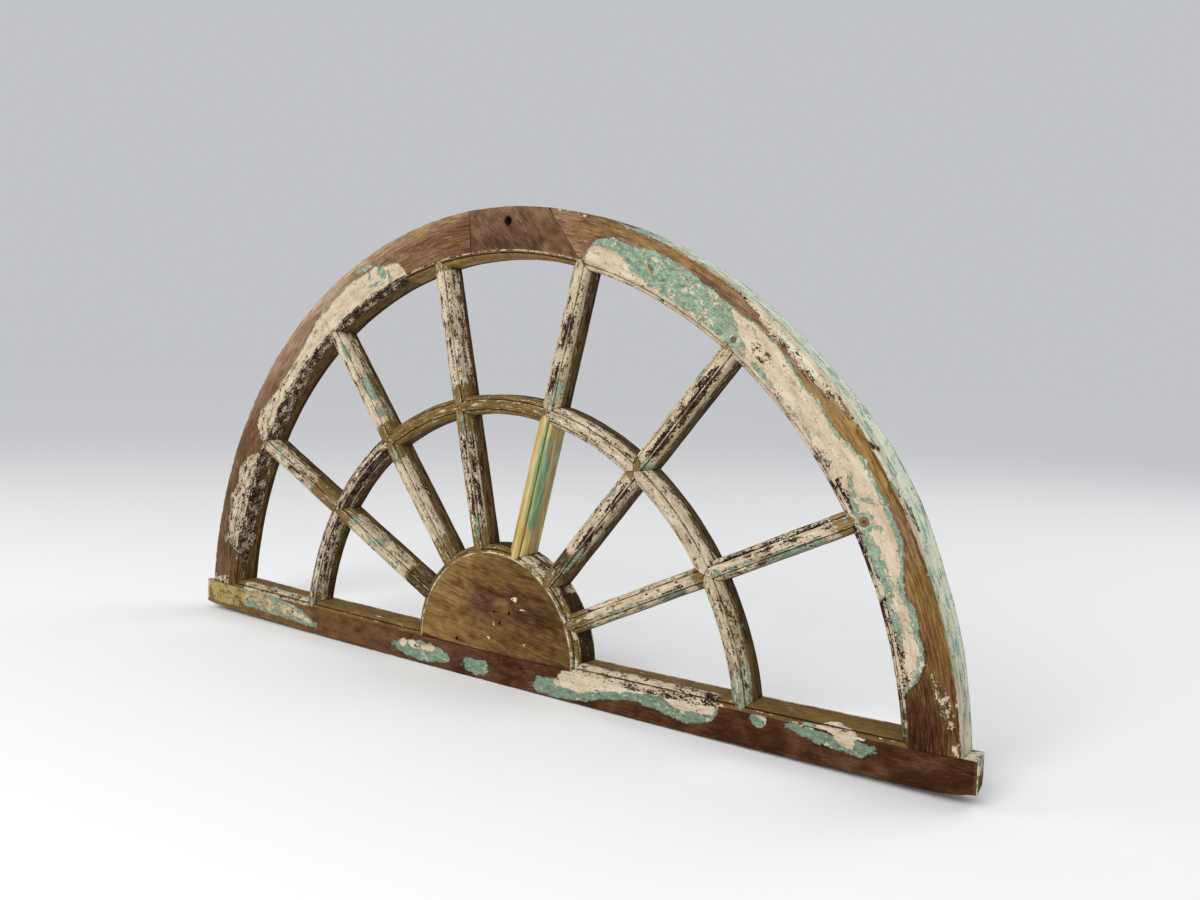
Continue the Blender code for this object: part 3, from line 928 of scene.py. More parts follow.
def strip_coat(plan, point, spot):
    """Moulded strip on top of the rail, and what shows behind it."""
    x, depth = point.x, spot.z
    rough = noise.noise(point / 15.0)
    fine = mottle(x / 24.0, depth / 3.0, 1.0)
    coat = Coat(tone=between(x, STRIP_TONE), grime=0.5, gold=0.85)
    if depth > plan.depth - FRAME_SKIN:
        plain_back(spot.x, spot.y, coat)
        return coat
    if -607.0 < x < -424.0:
        coat.set(cream=1.4 + 3.5 * fine, flake=0.55, grime=0.5)
        coat.green = 0.6 + 5.0 * rough
        coat.tint = -0.1
    elif 140.0 < x < 398.0:
        coat.cream = min(3.0, (x - 150.0) * 0.3, (388.0 - x) * 0.3) + 2.0 * fine + 2.0 * rough
        coat.flake = between(x, ((150, 0.4), (210, 0.6), (388, 0.8)))
        coat.green = coat.cream - 2.0
        coat.grime = 0.2
    elif 500.0 < x < 600.0:
        slope = 4.5 * depth
        stretch = min((x - 516.0 - slope) * 0.3, (580.0 - x - slope) * 0.3, 2.4)
        coat.cream = stretch + 2.5 * fine + 2.5 * rough
        coat.green = min((x - 505.0) * 0.3, (560.0 - x) * 0.3, 2.5 - depth) + 2.0 * rough
        coat.set(grime=0.5, flake=0.42)
    else:
        coat.cream = -2.2 + 3.4 * fine
        coat.flake = 0.5
        coat.green = -2.6 + 3.0 * rough
    # Painted shade in the quirk.
    if in_quirk(depth):
        coat.strip(0.05)
        coat.cream = -1.8 + 3.0 * fine
    if depth > 12.0:
        coat.keep_cream(-2.2 + 3.8 * fine)
        coat.keep_green(-2.6 + 3.0 * rough)
        coat.grime = 0.6
    if depth > plan.depth - 5.0:
        coat.add_cream(0.2 + 3.0 * rough)
    return coat


def rail_coat(plan, point, spot):
    """Paint, wear and tone of one point of the rail."""
    height, depth = spot.y, spot.z
    coat = Coat()
    if abs(point.x) > plan.half_span - 0.8:
        rough = noise.noise(point / 8.0)
        coat.set(cream=1.0 + 3.0 * rough, flake=0.3, grime=0.35, tone=0.45)
        coat.set(green=-1.0 + 3.0 * rough, tint=0.4)
    elif depth > plan.depth - FRAME_SKIN:
        plain_back(spot.x, spot.y, coat)
    elif depth < 1.0:
        rail_face(point, coat)
    elif height < 1.0:
        coat.strip(0.25)
    else:
        rough = noise.noise(point / 12.0)
        coat.cream = 0.6 + 3.0 * rough
        coat.set(grime=0.4, tone=0.45, flake=0.3, tint=0.3)
    return coat


# Flecks of cream on the hub, as leaning ovals.
HUB_CREAM = ((42, 130, 5, 5, 0), (57, 117, 8, 2, 0), (92, 163, 6, 2.5, -40), (62, 67, 4, 3, 0),
             (100, 156, 4, 2.5, -40), (36, 129, 2.5, 5, 20), (-88, 150, 3, 2, 0), (-8, 66, 6, 3, -20),
             (-30, 128, 3, 2, 0), (2, 88, 2, 5, 10), (-52, 120, 2, 2, 0), (76, 66, 2, 2, 0))
# Nail holes: x, z and half width.
HUB_NAILS = ((13.5, 91, 2.6), (2, 106, 2.2), (31, 108, 2.4), (-72.5, 53.5, 2.4), (97, 158, 2.0))
HUB_TONE = ((-140, 0.58), (-80, 0.54), (-20, 0.43), (40, 0.36), (110, 0.31), (150, 0.32))


def hub_face(plan, point, rough, coat):
    """Front face of the hub: bare and stained, with flecks of cream and dark nail holes."""
    x, z = point.x, point.z
    along, aside = x * 0.99 - z * 0.14, z * 0.99 + x * 0.14
    coat.tone = between(x, HUB_TONE)
    coat.tone += between(z, ((50, 0.05), (80, 0.0), (130, 0.0), (180, 0.05)))
    middle = math.hypot((x - 25.0) / 60.0, (z - 112.0) / 36.0)
    stain = 1.0 - abs(math.hypot((x - 18.0) / 1.35, z - 92.0) - 42.0) / 20.0
    stain = max(0.0, min(1.0, stain + 1.1 * rough)) if z > 96.0 else 0.0
    coat.tone -= 0.03 * max(0.0, 1.0 - middle) + 0.07 * stain
    coat.tone += 0.12 * mottle(along / 34.0, aside / 8.0, 0.0)
    coat.tone += 0.12 * mottle(along / 14.0, aside / 12.0, 3.0)
    coat.gold = between(x, ((-120, 1.0), (-20, 0.75), (60, 0.7))) + 0.5 * noise.noise(point / 24.0)
    coat.gold -= 0.8 * stain
    coat.grime = 0.1
    coat.add_cream(deepest(x, z, HUB_CREAM) * 1.2 - 1.0)
    if noise.noise(point / 2.6) > 0.62 + 0.12 * middle:
        coat.add_cream(0.2)
    if any(math.hypot(x - nail_x, z - nail_z) < size for nail_x, nail_z, size in HUB_NAILS):
        coat.strip(-0.1)
    if z < plan.rail_top + 1.5:
        coat.strip(0.0)


def hub_rim(point, angle, depth, rough, fine, coat):
    """Moulding and curved side of the hub."""
    coat.set(tone=0.52, grime=0.45, flake=0.5)
    coat.cream = -1.8 + 3.5 * fine
    coat.green = -2.2 + 3.0 * noise.noise(point / 10.0)
    if 36.0 < angle < 72.0 and depth < MOULD_DEPTH:
        coat.cream = 0.2 + 4.0 * fine
        coat.green = 0.4 + 4.0 * noise.noise(point / 10.0)
    elif 0.0 < angle < 30.0 and depth < MOULD_DEPTH:
        coat.set(cream=-0.2 + 4.0 * fine, tint=0.5)
    # Painted shade in the quirk.
    if in_quirk(depth):
        coat.strip(0.04)
        coat.cream = -1.6 + 3.0 * fine
    if depth > MOULD_DEPTH - 0.5:
        # Near black on the curved side behind the moulding: dark timber, and painted shade.
        coat.set(tone=-0.12, grime=0.2, gold=0.7)
        coat.keep_cream(-2.2 + 4.2 * fine)
        coat.keep_green(-2.4 + 4.0 * rough)
        if 40.0 < angle < 70.0:
            coat.set(cream=-0.4 + 4.6 * fine, green=0.2 + 5.0 * rough, tone=0.2)


def hub_coat(plan, point, spot):
    """Paint, wear and tone of one point of the hub."""
    radius, depth = spot.y, spot.z
    angle = bearing(point, plan.rail_top)
    rough = noise.noise(point / 20.0)
    fine = mottle(angle / 9.0, depth / 3.0, radius / 4.0)
    coat = Coat(gold=0.95)
    if depth > plan.depth - FRAME_SKIN:
        plain_back(point.x, point.z, coat)
    elif radius <= plan.hub - 0.4 and depth < 1.0:
        hub_face(plan, point, rough, coat)
    elif radius <= plan.hub + 1.2 and depth < 0.5:
        coat.strip(0.6)
        coat.cream = 0.6 + 2.5 * rough
    else:
        hub_rim(point, angle, depth, rough, fine, coat)
    return coat


# Painted stretches of each radial bar, in millimetres from the hub's centre:
# (from, to, flaking) for the cream, then (at, half length, across) for green marks.
# Inner bar 4 is the smooth one, whose paint is made by washed_coat.
BAR_PAINT = {
    "inner": (
        ((208, 357, 0.5), ((296, 16, 3), (283, 10, 9), (352, 8, 8), (238, 7, -7))),
        ((196, 340, 0.42), ((350, 14, 4), (335, 8, -9), (262, 10, -8), (240, 8, -9))),
        ((186, 326, 0.85), ((336, 9, 6), (178, 6, 6), (196, 7, 8), (350, 6, 5))),
        (),
        ((216, 366, 0.55), ((208, 26, 9), (332, 8, -4), (385, 9, 6))),
        ((192, 376, 0.5), ((215, 4, 4), (240, 4, 4), (262, 6, 5), (282, 5, 6), (304, 5, 5),
                           (338, 17, 9))),
    ),
    "outer": (
        ((466, 604, 0.58), ((556, 7, 3), (574, 9, 8), (470, 6, 6))),
        ((408, 592, 0.42), ((468, 10, -11), (552, 16, 6), (474, 22, 13), (590, 6, 13), (428, 9, 10))),
        ((400, 574, 0.6), ((410, 10, -9), (580, 7, -3), (584, 8, 12), (396, 5, -3))),
        ((374, 592, 0.55), ((556, 9, -8), (404, 16, 8), (388, 9, 2))),
        ((396, 588, 0.45), ((397, 9, 7), (392, 7, 12), (540, 9, -9))),
        ((398, 588, 0.7), ((515, 26, 9), (436, 6, 6), (460, 6, 5), (560, 10, 10), (412, 8, 4))),
    ),
}
# Big dark areas where the film has come away in one run: (bar, from, to, across, half width).
BARE_RUNS = {
    "inner": ((5, 232, 275, 6, 6), (5, 305, 350, 6, 5), (5, 176, 214, 3, 12), (3, 296, 322, 3, 5),
              (6, 320, 356, 8, 6), (1, 150, 204, 0, 15), (3, 200, 240, 3, 4)),
    "outer": ((5, 408, 470, 5, 7), (5, 468, 532, 6, 6.0), (5, 524, 570, 4, 6.5), (4, 396, 440, 0, 7),
              (6, 420, 500, -8, 3), (6, 520, 575, -8, 3), (4, 460, 515, 4, 5.5), (2, 470, 545, -6, 2),
              (2, 560, 596, -5, 3), (3, 446, 474, 3, 3), (1, 500, 540, 3, 4)),
}
# Paint on the sides of the bars behind the moulding: cream film, green film, flaking, grime and
# how deep it reaches.
BAR_SIDES = {
    "inner": ((0.7, -1.6, 0.5, 0.5, 23), (-0.9, -1.8, 0.7, 0.7, 22), (-1.5, -2.0, 0.7, 0.6, 20),
              (), (-1.0, -0.8, 0.8, 0.7, 22), (-0.6, -0.4, 0.8, 0.7, 20)),
    "outer": ((-0.2, -1.8, 0.6, 0.7, 22), (0.1, -0.9, 0.6, 0.85, 27), (1.9, -1.8, 0.78, 0.3, 28),
              (-1.6, -0.5, 0.7, 0.85, 22), (-0.8, -0.8, 0.8, 0.6, 22), (-0.9, 0.2, 0.9, 0.8, 22)),
}


def bar_side(plan, side_paint, fine, rough, spot, coat):
    """Side of a glazing bar: some paint near the moulding, and towards the back dark, dirty timber with
    painted shade.
    """
    cream, green, flake, grime, reach = side_paint
    depth = spot.z
    if depth < MOULD_DEPTH + 1.0:
        coat.add_cream(0.4 + 2.6 * rough)
        coat.flake = min(coat.flake, 0.35)
    elif depth < reach:
        coat.keep_cream(cream + 3.4 * fine)
        coat.keep_green(green + 3.0 * rough)
        coat.set(tone=0.30, grime=grime, flake=flake)
    else:
        # Towards the back the side is made dark: dirty timber, and painted shade on the side of the bar.
        coat.keep_cream(-2.6 + 3.6 * fine)
        coat.keep_green(-2.4 + 3.0 * rough)
        coat.set(tone=0.13, grime=0.55)
    # Near black at the back: putty stain, and painted shade of the rebate.
    if depth > plan.bar_depth - PUTTY_AND_SHADE_BAND:
        coat.strip(0.10)


def bar_front(fine, rough, spot, coat):
    """Painted highlights along the ridges of a bar's moulding, and painted shade in its grooves."""
    across, depth = abs(spot.y), spot.z
    # Thicker cream on the nose and a pale line at the fillet's outer edge are painted highlights along the
    # ridges.
    if across < NOSE_HALF + 0.5:
        coat.cream += 1.0
        coat.flake *= 0.75
    if abs(across - NOSE_HALF - FILLET + 0.6) < 0.3 and depth < FILLET_FALL + 0.1:
        coat.add_cream(0.6 + 2.6 * rough)
        coat.flake = min(coat.flake, 0.2)
    # Painted shade in the quirk.
    if in_quirk(depth):
        coat.keep_cream(-0.4 + 3.0 * fine)
        coat.keep_green(-0.6 + 2.0 * rough)
        coat.set(tone=0.14, grime=0.0)


def finish_bar(plan, side_paint, fine, rough, spot, coat):
    """The surfaces that radial and curved bars wear alike: moulding edges, sides and back."""
    bar_front(fine, rough, spot, coat)
    if spot.z > plan.bar_depth - BAR_SKIN:
        plain_back(spot.x, spot.y, coat)
    elif spot.z > MOULD_DEPTH - 0.5:
        bar_side(plan, side_paint, fine, rough, spot, coat)
    return coat


def bar_coat(plan, index, inner, point, spot):
    """Paint, wear and tone of one point of a radial bar."""
    run, across, depth = spot
    rough = noise.noise(point / 13.0)
    fine = mottle(run / 20.0, across / 3.4, depth / 3.4)
    part = "inner" if inner else "outer"
    (first, last, flake), marks = BAR_PAINT[part][index - 1]
    coat = Coat(flake=flake, tone=0.58, grime=0.35, gold=0.85)
    film = max(min(run - first, last - run, 8.0) * 0.6, -2.0)
    coat.cream = film + 2.8 * fine
    coat.green = film + 0.3 + 3.2 * rough
    coat.tint = -0.2 if index in (4, 5) and not inner else -0.05
    if film < 0.0:
        coat.grime = 0.5
    for at, half, side in marks:
        mark = (1.0 - math.hypot((run - at) / half, (across - side) / 4.5)) * 3.0
        coat.add_green(mark)
        if mark > -1.5:
            coat.cut_cream(mark)
    for bar, start, end, side, half in BARE_RUNS[part]:
        if bar == index:
            loss = min((run - start) / 9.0, (end - run) / 9.0, (half - abs(across - side)) / 2.5)
            if loss > -0.6:
                coat.flake = max(coat.flake, min(1.45, 0.75 + 0.5 * loss))
                coat.tone = 0.12 if loss > 0.0 else coat.tone
    return finish_bar(plan, BAR_SIDES[part][index - 1], fine, rough, spot, coat)


def washed_coat(point, spot):
    """The smooth replacement bar: thin yellow and green rubbed over each other."""
    run, across, depth = spot
    coat = Coat(cream=9.0, tone=0.6, grime=0.2)
    wash = mottle(run / 60.0, across / 9.0, depth / 9.0)
    coat.green = 6.0 * wash + between(run, (
        (160, -7), (190, -5), (205, 3), (330, 4), (350, -1), (380, -5)))
    if across < 4.5:
        coat.green -= 9.0
    elif depth > 19.0:
        coat.green -= 6.0
        coat.grime = 0.55
    # The quirk gets no cream, which the material turns into painted shade.
    if in_quirk(depth):
        coat.set(cream=-3.0, green=-9.0)
    return coat


# Paint of the ring's bars: cream film, green film, flaking, grime and tint, then their sides.
RING_PAINT = ((2.4, 0.6, 0.85, 0.4, 0.0), (1.9, 0.0, 0.9, 0.45, 0.0), (-1.9, -2.3, 0.6, 0.6, -0.3),
              (-1.6, -2.0, 0.6, 0.55, -0.2), (2.2, 0.8, 0.5, 0.45, 0.0), (2.4, 1.0, 0.4, 0.4, 0.0),
              (2.0, 0.6, 0.65, 0.45, -0.15))
RING_SIDES = ((0.4, -1.6, 0.8, 0.5, 22), (0.2, -1.8, 1.0, 0.4, 22), (-1.4, -2.2, 0.6, 0.7, 20),
              (-1.8, -1.6, 0.6, 0.7, 20), (-0.4, -1.6, 0.8, 0.7, 20), (0.0, -1.4, 0.7, 0.6, 22),
              (-1.6, -0.8, 0.7, 0.6, 20))


def ring_coat(plan, index, point, spot):
    """Paint, wear and tone of one point of the ring."""
    across, depth = spot.y, spot.z
    rough = noise.noise(point / 14.0)
    fine = mottle(spot.x / 24.0, across / 3.4, depth / 3.4)
    cream, green, flake, grime, tint = RING_PAINT[index - 1]
    coat = Coat(cream + 3.0 * fine, green + 3.4 * rough, flake, grime, 0.52, tint, 1.0)
    angle = bearing(point, plan.arch_z)
    if index == 1 and depth < MOULD_DEPTH:
        coat.cream -= between(angle, ((153, 0.0), (160, 0.0), (170, 2.5), (176, 4.5)))
    if index == 2 and across < -NOSE_HALF - 3.0 and depth < MOULD_DEPTH:
        coat.set(cream=0.9 + 3.0 * fine, flake=1.3, tone=0.15)
    if index == 7:
        coat.cream -= between(angle, ((4, 4.0), (12, 2.2), (20, 0.2)))
        coat.green += between(angle, ((4, 1.4), (14, 0.8), (20, -0.6)))
    return finish_bar(plan, RING_SIDES[index - 1], fine, rough, spot, coat)


def dress(bm, coat_of, dark_ends=True):
    """Store each point's coat with the mesh."""
    spots = bm.verts.layers.float_vector["spot"]
    raw = bm.verts.layers.float["raw"]
    layers = {name: bm.verts.layers.float.new(name) for name in Coat.__slots__}
    for vert in bm.verts:
        coat = coat_of(vert.co.copy(), vert[spots])
        if dark_ends and vert[raw] > 0.5:
            coat.strip(0.0)
        for name, layer in layers.items():
            vert[layer] = getattr(coat, name)


def scaled(colour, factor):
    """A colour made darker or lighter."""
    return tuple(min(1.0, value * factor) for value in tuple(colour)[:3])


# ------------------------------------------------------------------ materials

class Recipe:
    """Adds and wires the nodes of one material, so that each layer reads as one line."""

    def __init__(self, name):
        self.material = bpy.data.materials.new(name)
        self.material.use_nodes = True
        self.nodes = self.material.node_tree.nodes
        self.links = self.material.node_tree.links
        self.shader = self.nodes["Principled BSDF"]
        self.grain = self.attribute("grain", "Vector")

    def feed(self, socket, value):
        """Link an output, or set a constant."""
        if isinstance(value, bpy.types.NodeSocket):
            self.links.new(value, socket)
        elif isinstance(value, tuple) and len(value) == 3 and socket.type == "RGBA":
            socket.default_value = (*value, 1.0)
        else:
            socket.default_value = value

    def attribute(self, name, output="Fac"):
        """Read one of the mesh's stored fields."""
        node = self.nodes.new("ShaderNodeAttribute")
        node.attribute_name = name
        return node.outputs[output]

    def maths(self, operation, first, second=0.0, third=0.0, clamp=False):
        """A maths node."""
        node = self.nodes.new("ShaderNodeMath")
        node.operation = operation
        node.use_clamp = clamp
        for socket, value in zip(node.inputs, (first, second, third)):
            self.feed(socket, value)
        return node.outputs[0]

    def vary(self, value, pattern, amount):
        """Add a pattern to a value, centred so that the average stays."""
        return self.maths("MULTIPLY_ADD", self.maths("SUBTRACT", pattern, 0.5), amount, value)

    def cells(self, kind, cell, shift):
        """A texture laid along the grain.

        The cell is its size in millimetres along and across the grain, and through the timber
        where that differs.
        """
        mapping = self.nodes.new("ShaderNodeMapping")
        self.feed(mapping.inputs["Vector"], self.grain)
        mapping.inputs["Location"].default_value = shift
        mapping.inputs["Scale"].default_value = (1.0 / cell[0], 1.0 / cell[1], 1.0 / cell[-1])
        node = self.nodes.new(kind)
        self.feed(node.inputs["Vector"], mapping.outputs[0])
        node.inputs["Scale"].default_value = 1.0
        return node

    def pattern(self, cell, detail=3.0, roughness=0.6, shift=0.0, distortion=0.0):
        """Noise with cells of a size in millimetres."""
        node = self.cells("ShaderNodeTexNoise", cell, (shift, shift * 0.7, shift * 1.3))
        node.inputs["Detail"].default_value = detail
        node.inputs["Roughness"].default_value = roughness
        node.inputs["Distortion"].default_value = distortion
        return node.outputs["Fac"]

    def cracks(self, cell, width, shift=0.0):
        """Thin crossing lines, as in old dry paint."""
        node = self.cells("ShaderNodeTexVoronoi", cell, (shift, shift, shift))
        node.feature = "DISTANCE_TO_EDGE"
        return self.ramp_between(node.outputs["Distance"], width, 0.0)

    def ramp_between(self, value, low, high):
        """0 at 'low', 1 at 'high', smooth in between."""
        node = self.nodes.new("ShaderNodeMapRange")
        node.interpolation_type = "SMOOTHSTEP"
        self.feed(node.inputs["Value"], value)
        node.inputs["From Min"].default_value = min(low, high)
        node.inputs["From Max"].default_value = max(low, high)
        node.inputs["To Min"].default_value = 0.0 if low < high else 1.0
        node.inputs["To Max"].default_value = 1.0 if low < high else 0.0
        return node.outputs["Result"]

    def over(self, under, top, factor):
        """Lay one colour over another."""
        node = self.nodes.new("ShaderNodeMix")
        node.data_type = "RGBA"
        self.feed(node.inputs["Factor"], factor)
        self.feed(node.inputs[6], under)
        self.feed(node.inputs[7], top)
        return node.outputs[2]

    def tones(self, value, stops):
        """Colours along a scale from 0 to 1."""
        node = self.nodes.new("ShaderNodeValToRGB")
        ramp = node.color_ramp
        while len(ramp.elements) < len(stops):
            ramp.elements.new(0.5)
        for element, (position, colour) in zip(ramp.elements, stops):
            element.position = position
            element.color = (*colour, 1.0)
        self.feed(node.inputs[0], value)
        return node.outputs[0]

    def mask(self, value, low, high, amount):
        """A mask from 0 at 'low' to 'amount' at 'high'."""
        return self.maths("MULTIPLY", self.ramp_between(value, low, high), amount)

    def mark(self, under, colour, value, low, high, amount):
        """Lay a colour where a value passes from 'low' to 'high'."""
        return self.over(under, colour, self.mask(value, low, high, amount))

    def finish(self, colour, roughness, height, strength, distance):
        """Feed the shader its colour, roughness and bump, and hand the material back."""
        bump = self.nodes.new("ShaderNodeBump")
        bump.inputs["Strength"].default_value = strength
        bump.inputs["Distance"].default_value = distance
        self.feed(bump.inputs["Height"], height)
        self.feed(self.shader.inputs["Base Color"], colour)
        self.feed(self.shader.inputs["Roughness"], roughness)
        self.feed(self.shader.inputs["Normal"], bump.outputs[0])
        return self.material


WOOD_RED = ((0.0, (0.014, 0.004, 0.002)), (0.22, (0.050, 0.015, 0.004)), (0.45, (0.130, 0.060, 0.032)),
            (0.65, (0.215, 0.120, 0.074)), (0.85, (0.32, 0.205, 0.135)), (1.0, (0.44, 0.32, 0.22)))
WOOD_GOLD = ((0.0, (0.018, 0.008, 0.002)), (0.22, (0.062, 0.027, 0.006)), (0.45, (0.158, 0.082, 0.021)),
             (0.65, (0.265, 0.155, 0.047)), (0.85, (0.38, 0.25, 0.09)), (1.0, (0.53, 0.40, 0.19)))
GREYED_WOOD = (0.21, 0.155, 0.125)
WOOD_PORES = (0.02, 0.010, 0.005)
DARK_SCRATCH = ((0.0, (0.010, 0.004, 0.002)), (1.0, (0.10, 0.048, 0.018)))
PALE_SCRATCH = ((0.0, (0.03, 0.012, 0.004)), (0.6, (0.36, 0.225, 0.10)))
PALEST_GREEN = (0.42, 0.54, 0.42)
GREEN_OUTLINE = (0.055, 0.075, 0.042)
TURQUOISE = (0.24, 0.55, 0.45)
YELLOWED_CREAM = (0.60, 0.475, 0.27)
STAINED_CREAM = (0.33, 0.225, 0.095)
CRACKED_CREAM = (0.13, 0.13, 0.075)
PEPPERED_CREAM = (0.22, 0.145, 0.085)
THIN_CREAM = (0.20, 0.13, 0.05)
BROWN_GLAZE = (0.15, 0.098, 0.026)
FLAKE_EDGE = (0.24, 0.14, 0.055)
UNDER_FLAKES = ((0.36, (0.010, 0.005, 0.005)), (0.50, (0.030, 0.014, 0.011)),
                (0.61, (0.085, 0.040, 0.026)), (0.72, (0.22, 0.13, 0.075)))


class PaintedTimber(Recipe):
    """The layers of one old painted timber, each laid over the ones before it."""

    def __init__(self, name, colours, look):
        super().__init__(name)
        self.colours, self.look = colours, look
        self.fields = {name: self.attribute(name) for name in Coat.__slots__}
        self.mint = self.maths("MULTIPLY", self.fields["tint"], 1.0, clamp=True)
        tear = self.maths("SUBTRACT", self.pattern(look["tear"], 4.0, 0.7, 23.0), 0.5)
        self.torn = self.maths("MULTIPLY", tear, look["torn"])

    def add_wood(self):
        """Bare wood between red-brown and gold, with scratches along the grain and pores."""
        look = self.look
        self.streak = self.pattern(look["grain"], 6.0, 0.74, 0.0, 0.3)
        self.cloud = self.pattern((46.0, 20.0), 4.0, 0.6, 5.0)
        level = self.vary(self.fields["tone"], self.streak, look["contrast"])
        level = self.vary(level, self.cloud, 0.7)
        level = self.maths("MAXIMUM", self.maths("MINIMUM", level, 1.0), 0.0)
        golden = self.vary(self.fields["gold"], self.pattern(look["figure"], 4.0, 0.65, 8.0), 1.6)
        wood = self.over(
            self.tones(level, WOOD_RED), self.tones(level, WOOD_GOLD),
            self.ramp_between(golden, 0.2, 0.9))
        wood = self.over(wood, GREYED_WOOD, look["grey"])
        scratch = self.pattern(look["scratches"], 3.0, 0.6, 14.0)
        self.groove = self.mask(scratch, 0.58, 0.62, look["scratch"])
        wood = self.over(wood, self.tones(level, DARK_SCRATCH), self.groove)
        pale = self.tones(level, PALE_SCRATCH)
        wood = self.mark(wood, pale, scratch, 0.41, 0.37, look["scratch"] * 0.8)
        dots = self.pattern((3.4, 2.4), 2.0, 0.5, 6.0)
        self.body = self.mark(wood, WOOD_PORES, dots, 0.67, 0.72, 0.75)

    def add_dirt(self):
        """Olive dirt in the worn parts."""
        dirt = self.pattern((26.0, 6.0), 4.0, 0.68, 9.0)
        self.dirt = self.maths(
            "MULTIPLY", self.fields["grime"], self.ramp_between(dirt, 0.40, 0.58), clamp=True)
        grime = self.colours.grime
        olive = self.tones(self.pattern((18.0, 3.4), 4.0, 0.7, 12.0), (
            (0.32, scaled(grime, 0.3)), (0.48, scaled(grime, 0.9)), (0.64, scaled(grime, 2.2))))
        self.body = self.over(self.body, olive, self.maths("MULTIPLY", self.dirt, 0.85))

    def film_edge(self, film, shift):
        """Depth inside a film of paint, with its edge torn and made ragged."""
        rag = self.maths("SUBTRACT", self.pattern(self.look["rag"], 4.0, 0.65, shift), 0.5)
        ragged = self.maths("MULTIPLY_ADD", rag, self.look["ragged"], self.torn)
        return self.maths("ADD", ragged, self.fields[film])

    def add_green(self):
        """Old green coat, outlined where it is thin and chipped to an older cream."""
        green = self.colours.green
        edge = self.film_edge("green", 17.0)
        colour = self.tones(self.pattern((9.0, 5.0), 5.0, 0.74, 31.0), (
            (0.30, scaled(green, 0.4)), (0.45, scaled(green, 0.8)),
            (0.57, scaled(green, 1.15)), (0.74, PALEST_GREEN)))
        colour = self.mark(colour, GREEN_OUTLINE, edge, 0.9, 0.1, 0.6)
        colour = self.over(colour, TURQUOISE, self.maths("MULTIPLY", self.mint, 0.8))
        # Green darkens where the stored tone is low: darker, dirtier timber, and the painted shade of
        # grooves and sides.
        worn = self.maths("MULTIPLY_ADD", self.fields["tone"], -1.2, 0.62, clamp=True)
        colour = self.over(colour, scaled(green, 0.25), worn)
        chips = self.pattern((4.6, 3.2), 4.0, 0.7, 35.0)
        chips = self.vary(chips, self.pattern((22.0, 15.0), 2.0, 0.5, 37.0), 0.7)
        least = self.look["chips"]
        colour = self.mark(colour, tuple(self.colours.cream), chips, least, least + 0.03, 0.85)
        self.green_film = self.ramp_between(edge, -0.1, 0.15)
        self.body = self.over(self.body, colour, self.green_film)

    def add_cream(self):
        """Cream top coat: mottled, brushed, yellowed, stained, cracked and thin at its edges."""
        look, colours = self.look, self.colours
        edge = self.film_edge("cream", 41.0)
        mottled = self.pattern((38.0, 13.0), 5.0, 0.65, 47.0)
        level = self.vary(look["fresh"], mottled, look["mottle"])
        level = self.vary(level, self.pattern((22.0, 2.6), 4.0, 0.7, 43.0), look["brush"])
        colour = self.tones(level, (
            (0.26, scaled(colours.cream_shade, 0.55)), (0.42, tuple(colours.cream_shade)),
            (0.54, tuple(colours.cream)), (0.72, scaled(colours.cream, 1.14))))
        patches = self.pattern((60.0, 12.0), 3.0, 0.6, 49.0)
        colour = self.mark(colour, YELLOWED_CREAM, patches, 0.46, 0.60, look["yellow"])
        stains = self.pattern((17.0, 6.0), 4.0, 0.7, 51.0)
        colour = self.mark(colour, STAINED_CREAM, stains, 0.52, 0.68, look["stain"])
        ochre = self.maths("MULTIPLY", self.fields["tint"], -1.0, clamp=True)
        colour = self.over(colour, tuple(colours.ochre), ochre)
        colour = self.over(colour, tuple(colours.mint), self.mint)
        crack_zone = self.mask(self.pattern((13.0, 10.0), 3.0, 0.6, 53.0), 0.51, 0.58,
                               look["crack"])
        self.crack = self.maths("MULTIPLY", self.cracks((8.0, 10.0), 0.045, 2.0), crack_zone)
        colour = self.over(colour, CRACKED_CREAM, self.crack)
        pepper = self.pattern((3.2, 2.6), 3.0, 0.6, 57.0)
        colour = self.mark(colour, PEPPERED_CREAM, pepper, 0.655, 0.69, 0.7)
        colour = self.mark(colour, THIN_CREAM, edge, 0.6, 0.0, 0.5)
        self.cream_film = self.ramp_between(edge, -0.08, 0.12)
        self.body = self.over(self.body, colour, self.cream_film)
        glaze = self.maths("MULTIPLY", self.dirt, look["glaze"])
        self.body = self.over(self.body, BROWN_GLAZE, glaze)

    def add_flakes(self):
        """Places where the cream has flaked off, dark inside and brown round their edges."""
        spots = self.pattern(self.look["flake"], 4.0, 0.74, 61.0)
        spots = self.vary(spots, self.pattern(self.look["cluster"], 2.0, 0.5, 67.0), 0.6)
        limit = self.maths("MULTIPLY_ADD", self.fields["flake"], -0.29, 0.735)
        above = self.maths("SUBTRACT", spots, limit)
        fringe = self.mask(above, -0.035, 0.0, self.cream_film)
        self.body = self.over(self.body, FLAKE_EDGE, self.maths("MULTIPLY", fringe, 0.55))
        self.flaked = self.mask(above, 0.0, 0.012, self.cream_film)
        under = self.tones(self.pattern((8.0, 3.6), 3.0, 0.65, 71.0), UNDER_FLAKES)
        self.body = self.over(self.body, under, self.flaked)

    def relief(self):
        """Height of the surface: films of paint, cracks and flakes in them, and the grain."""
        height = self.maths("SUBTRACT", self.cream_film, self.flaked)
        height = self.maths("MULTIPLY_ADD", self.crack, -0.35, height)
        height = self.maths("MULTIPLY_ADD", self.green_film, 0.45, height)
        height = self.maths("MULTIPLY_ADD", self.streak, 1.2, height)
        return self.maths("MULTIPLY_ADD", self.groove, -0.4, height)

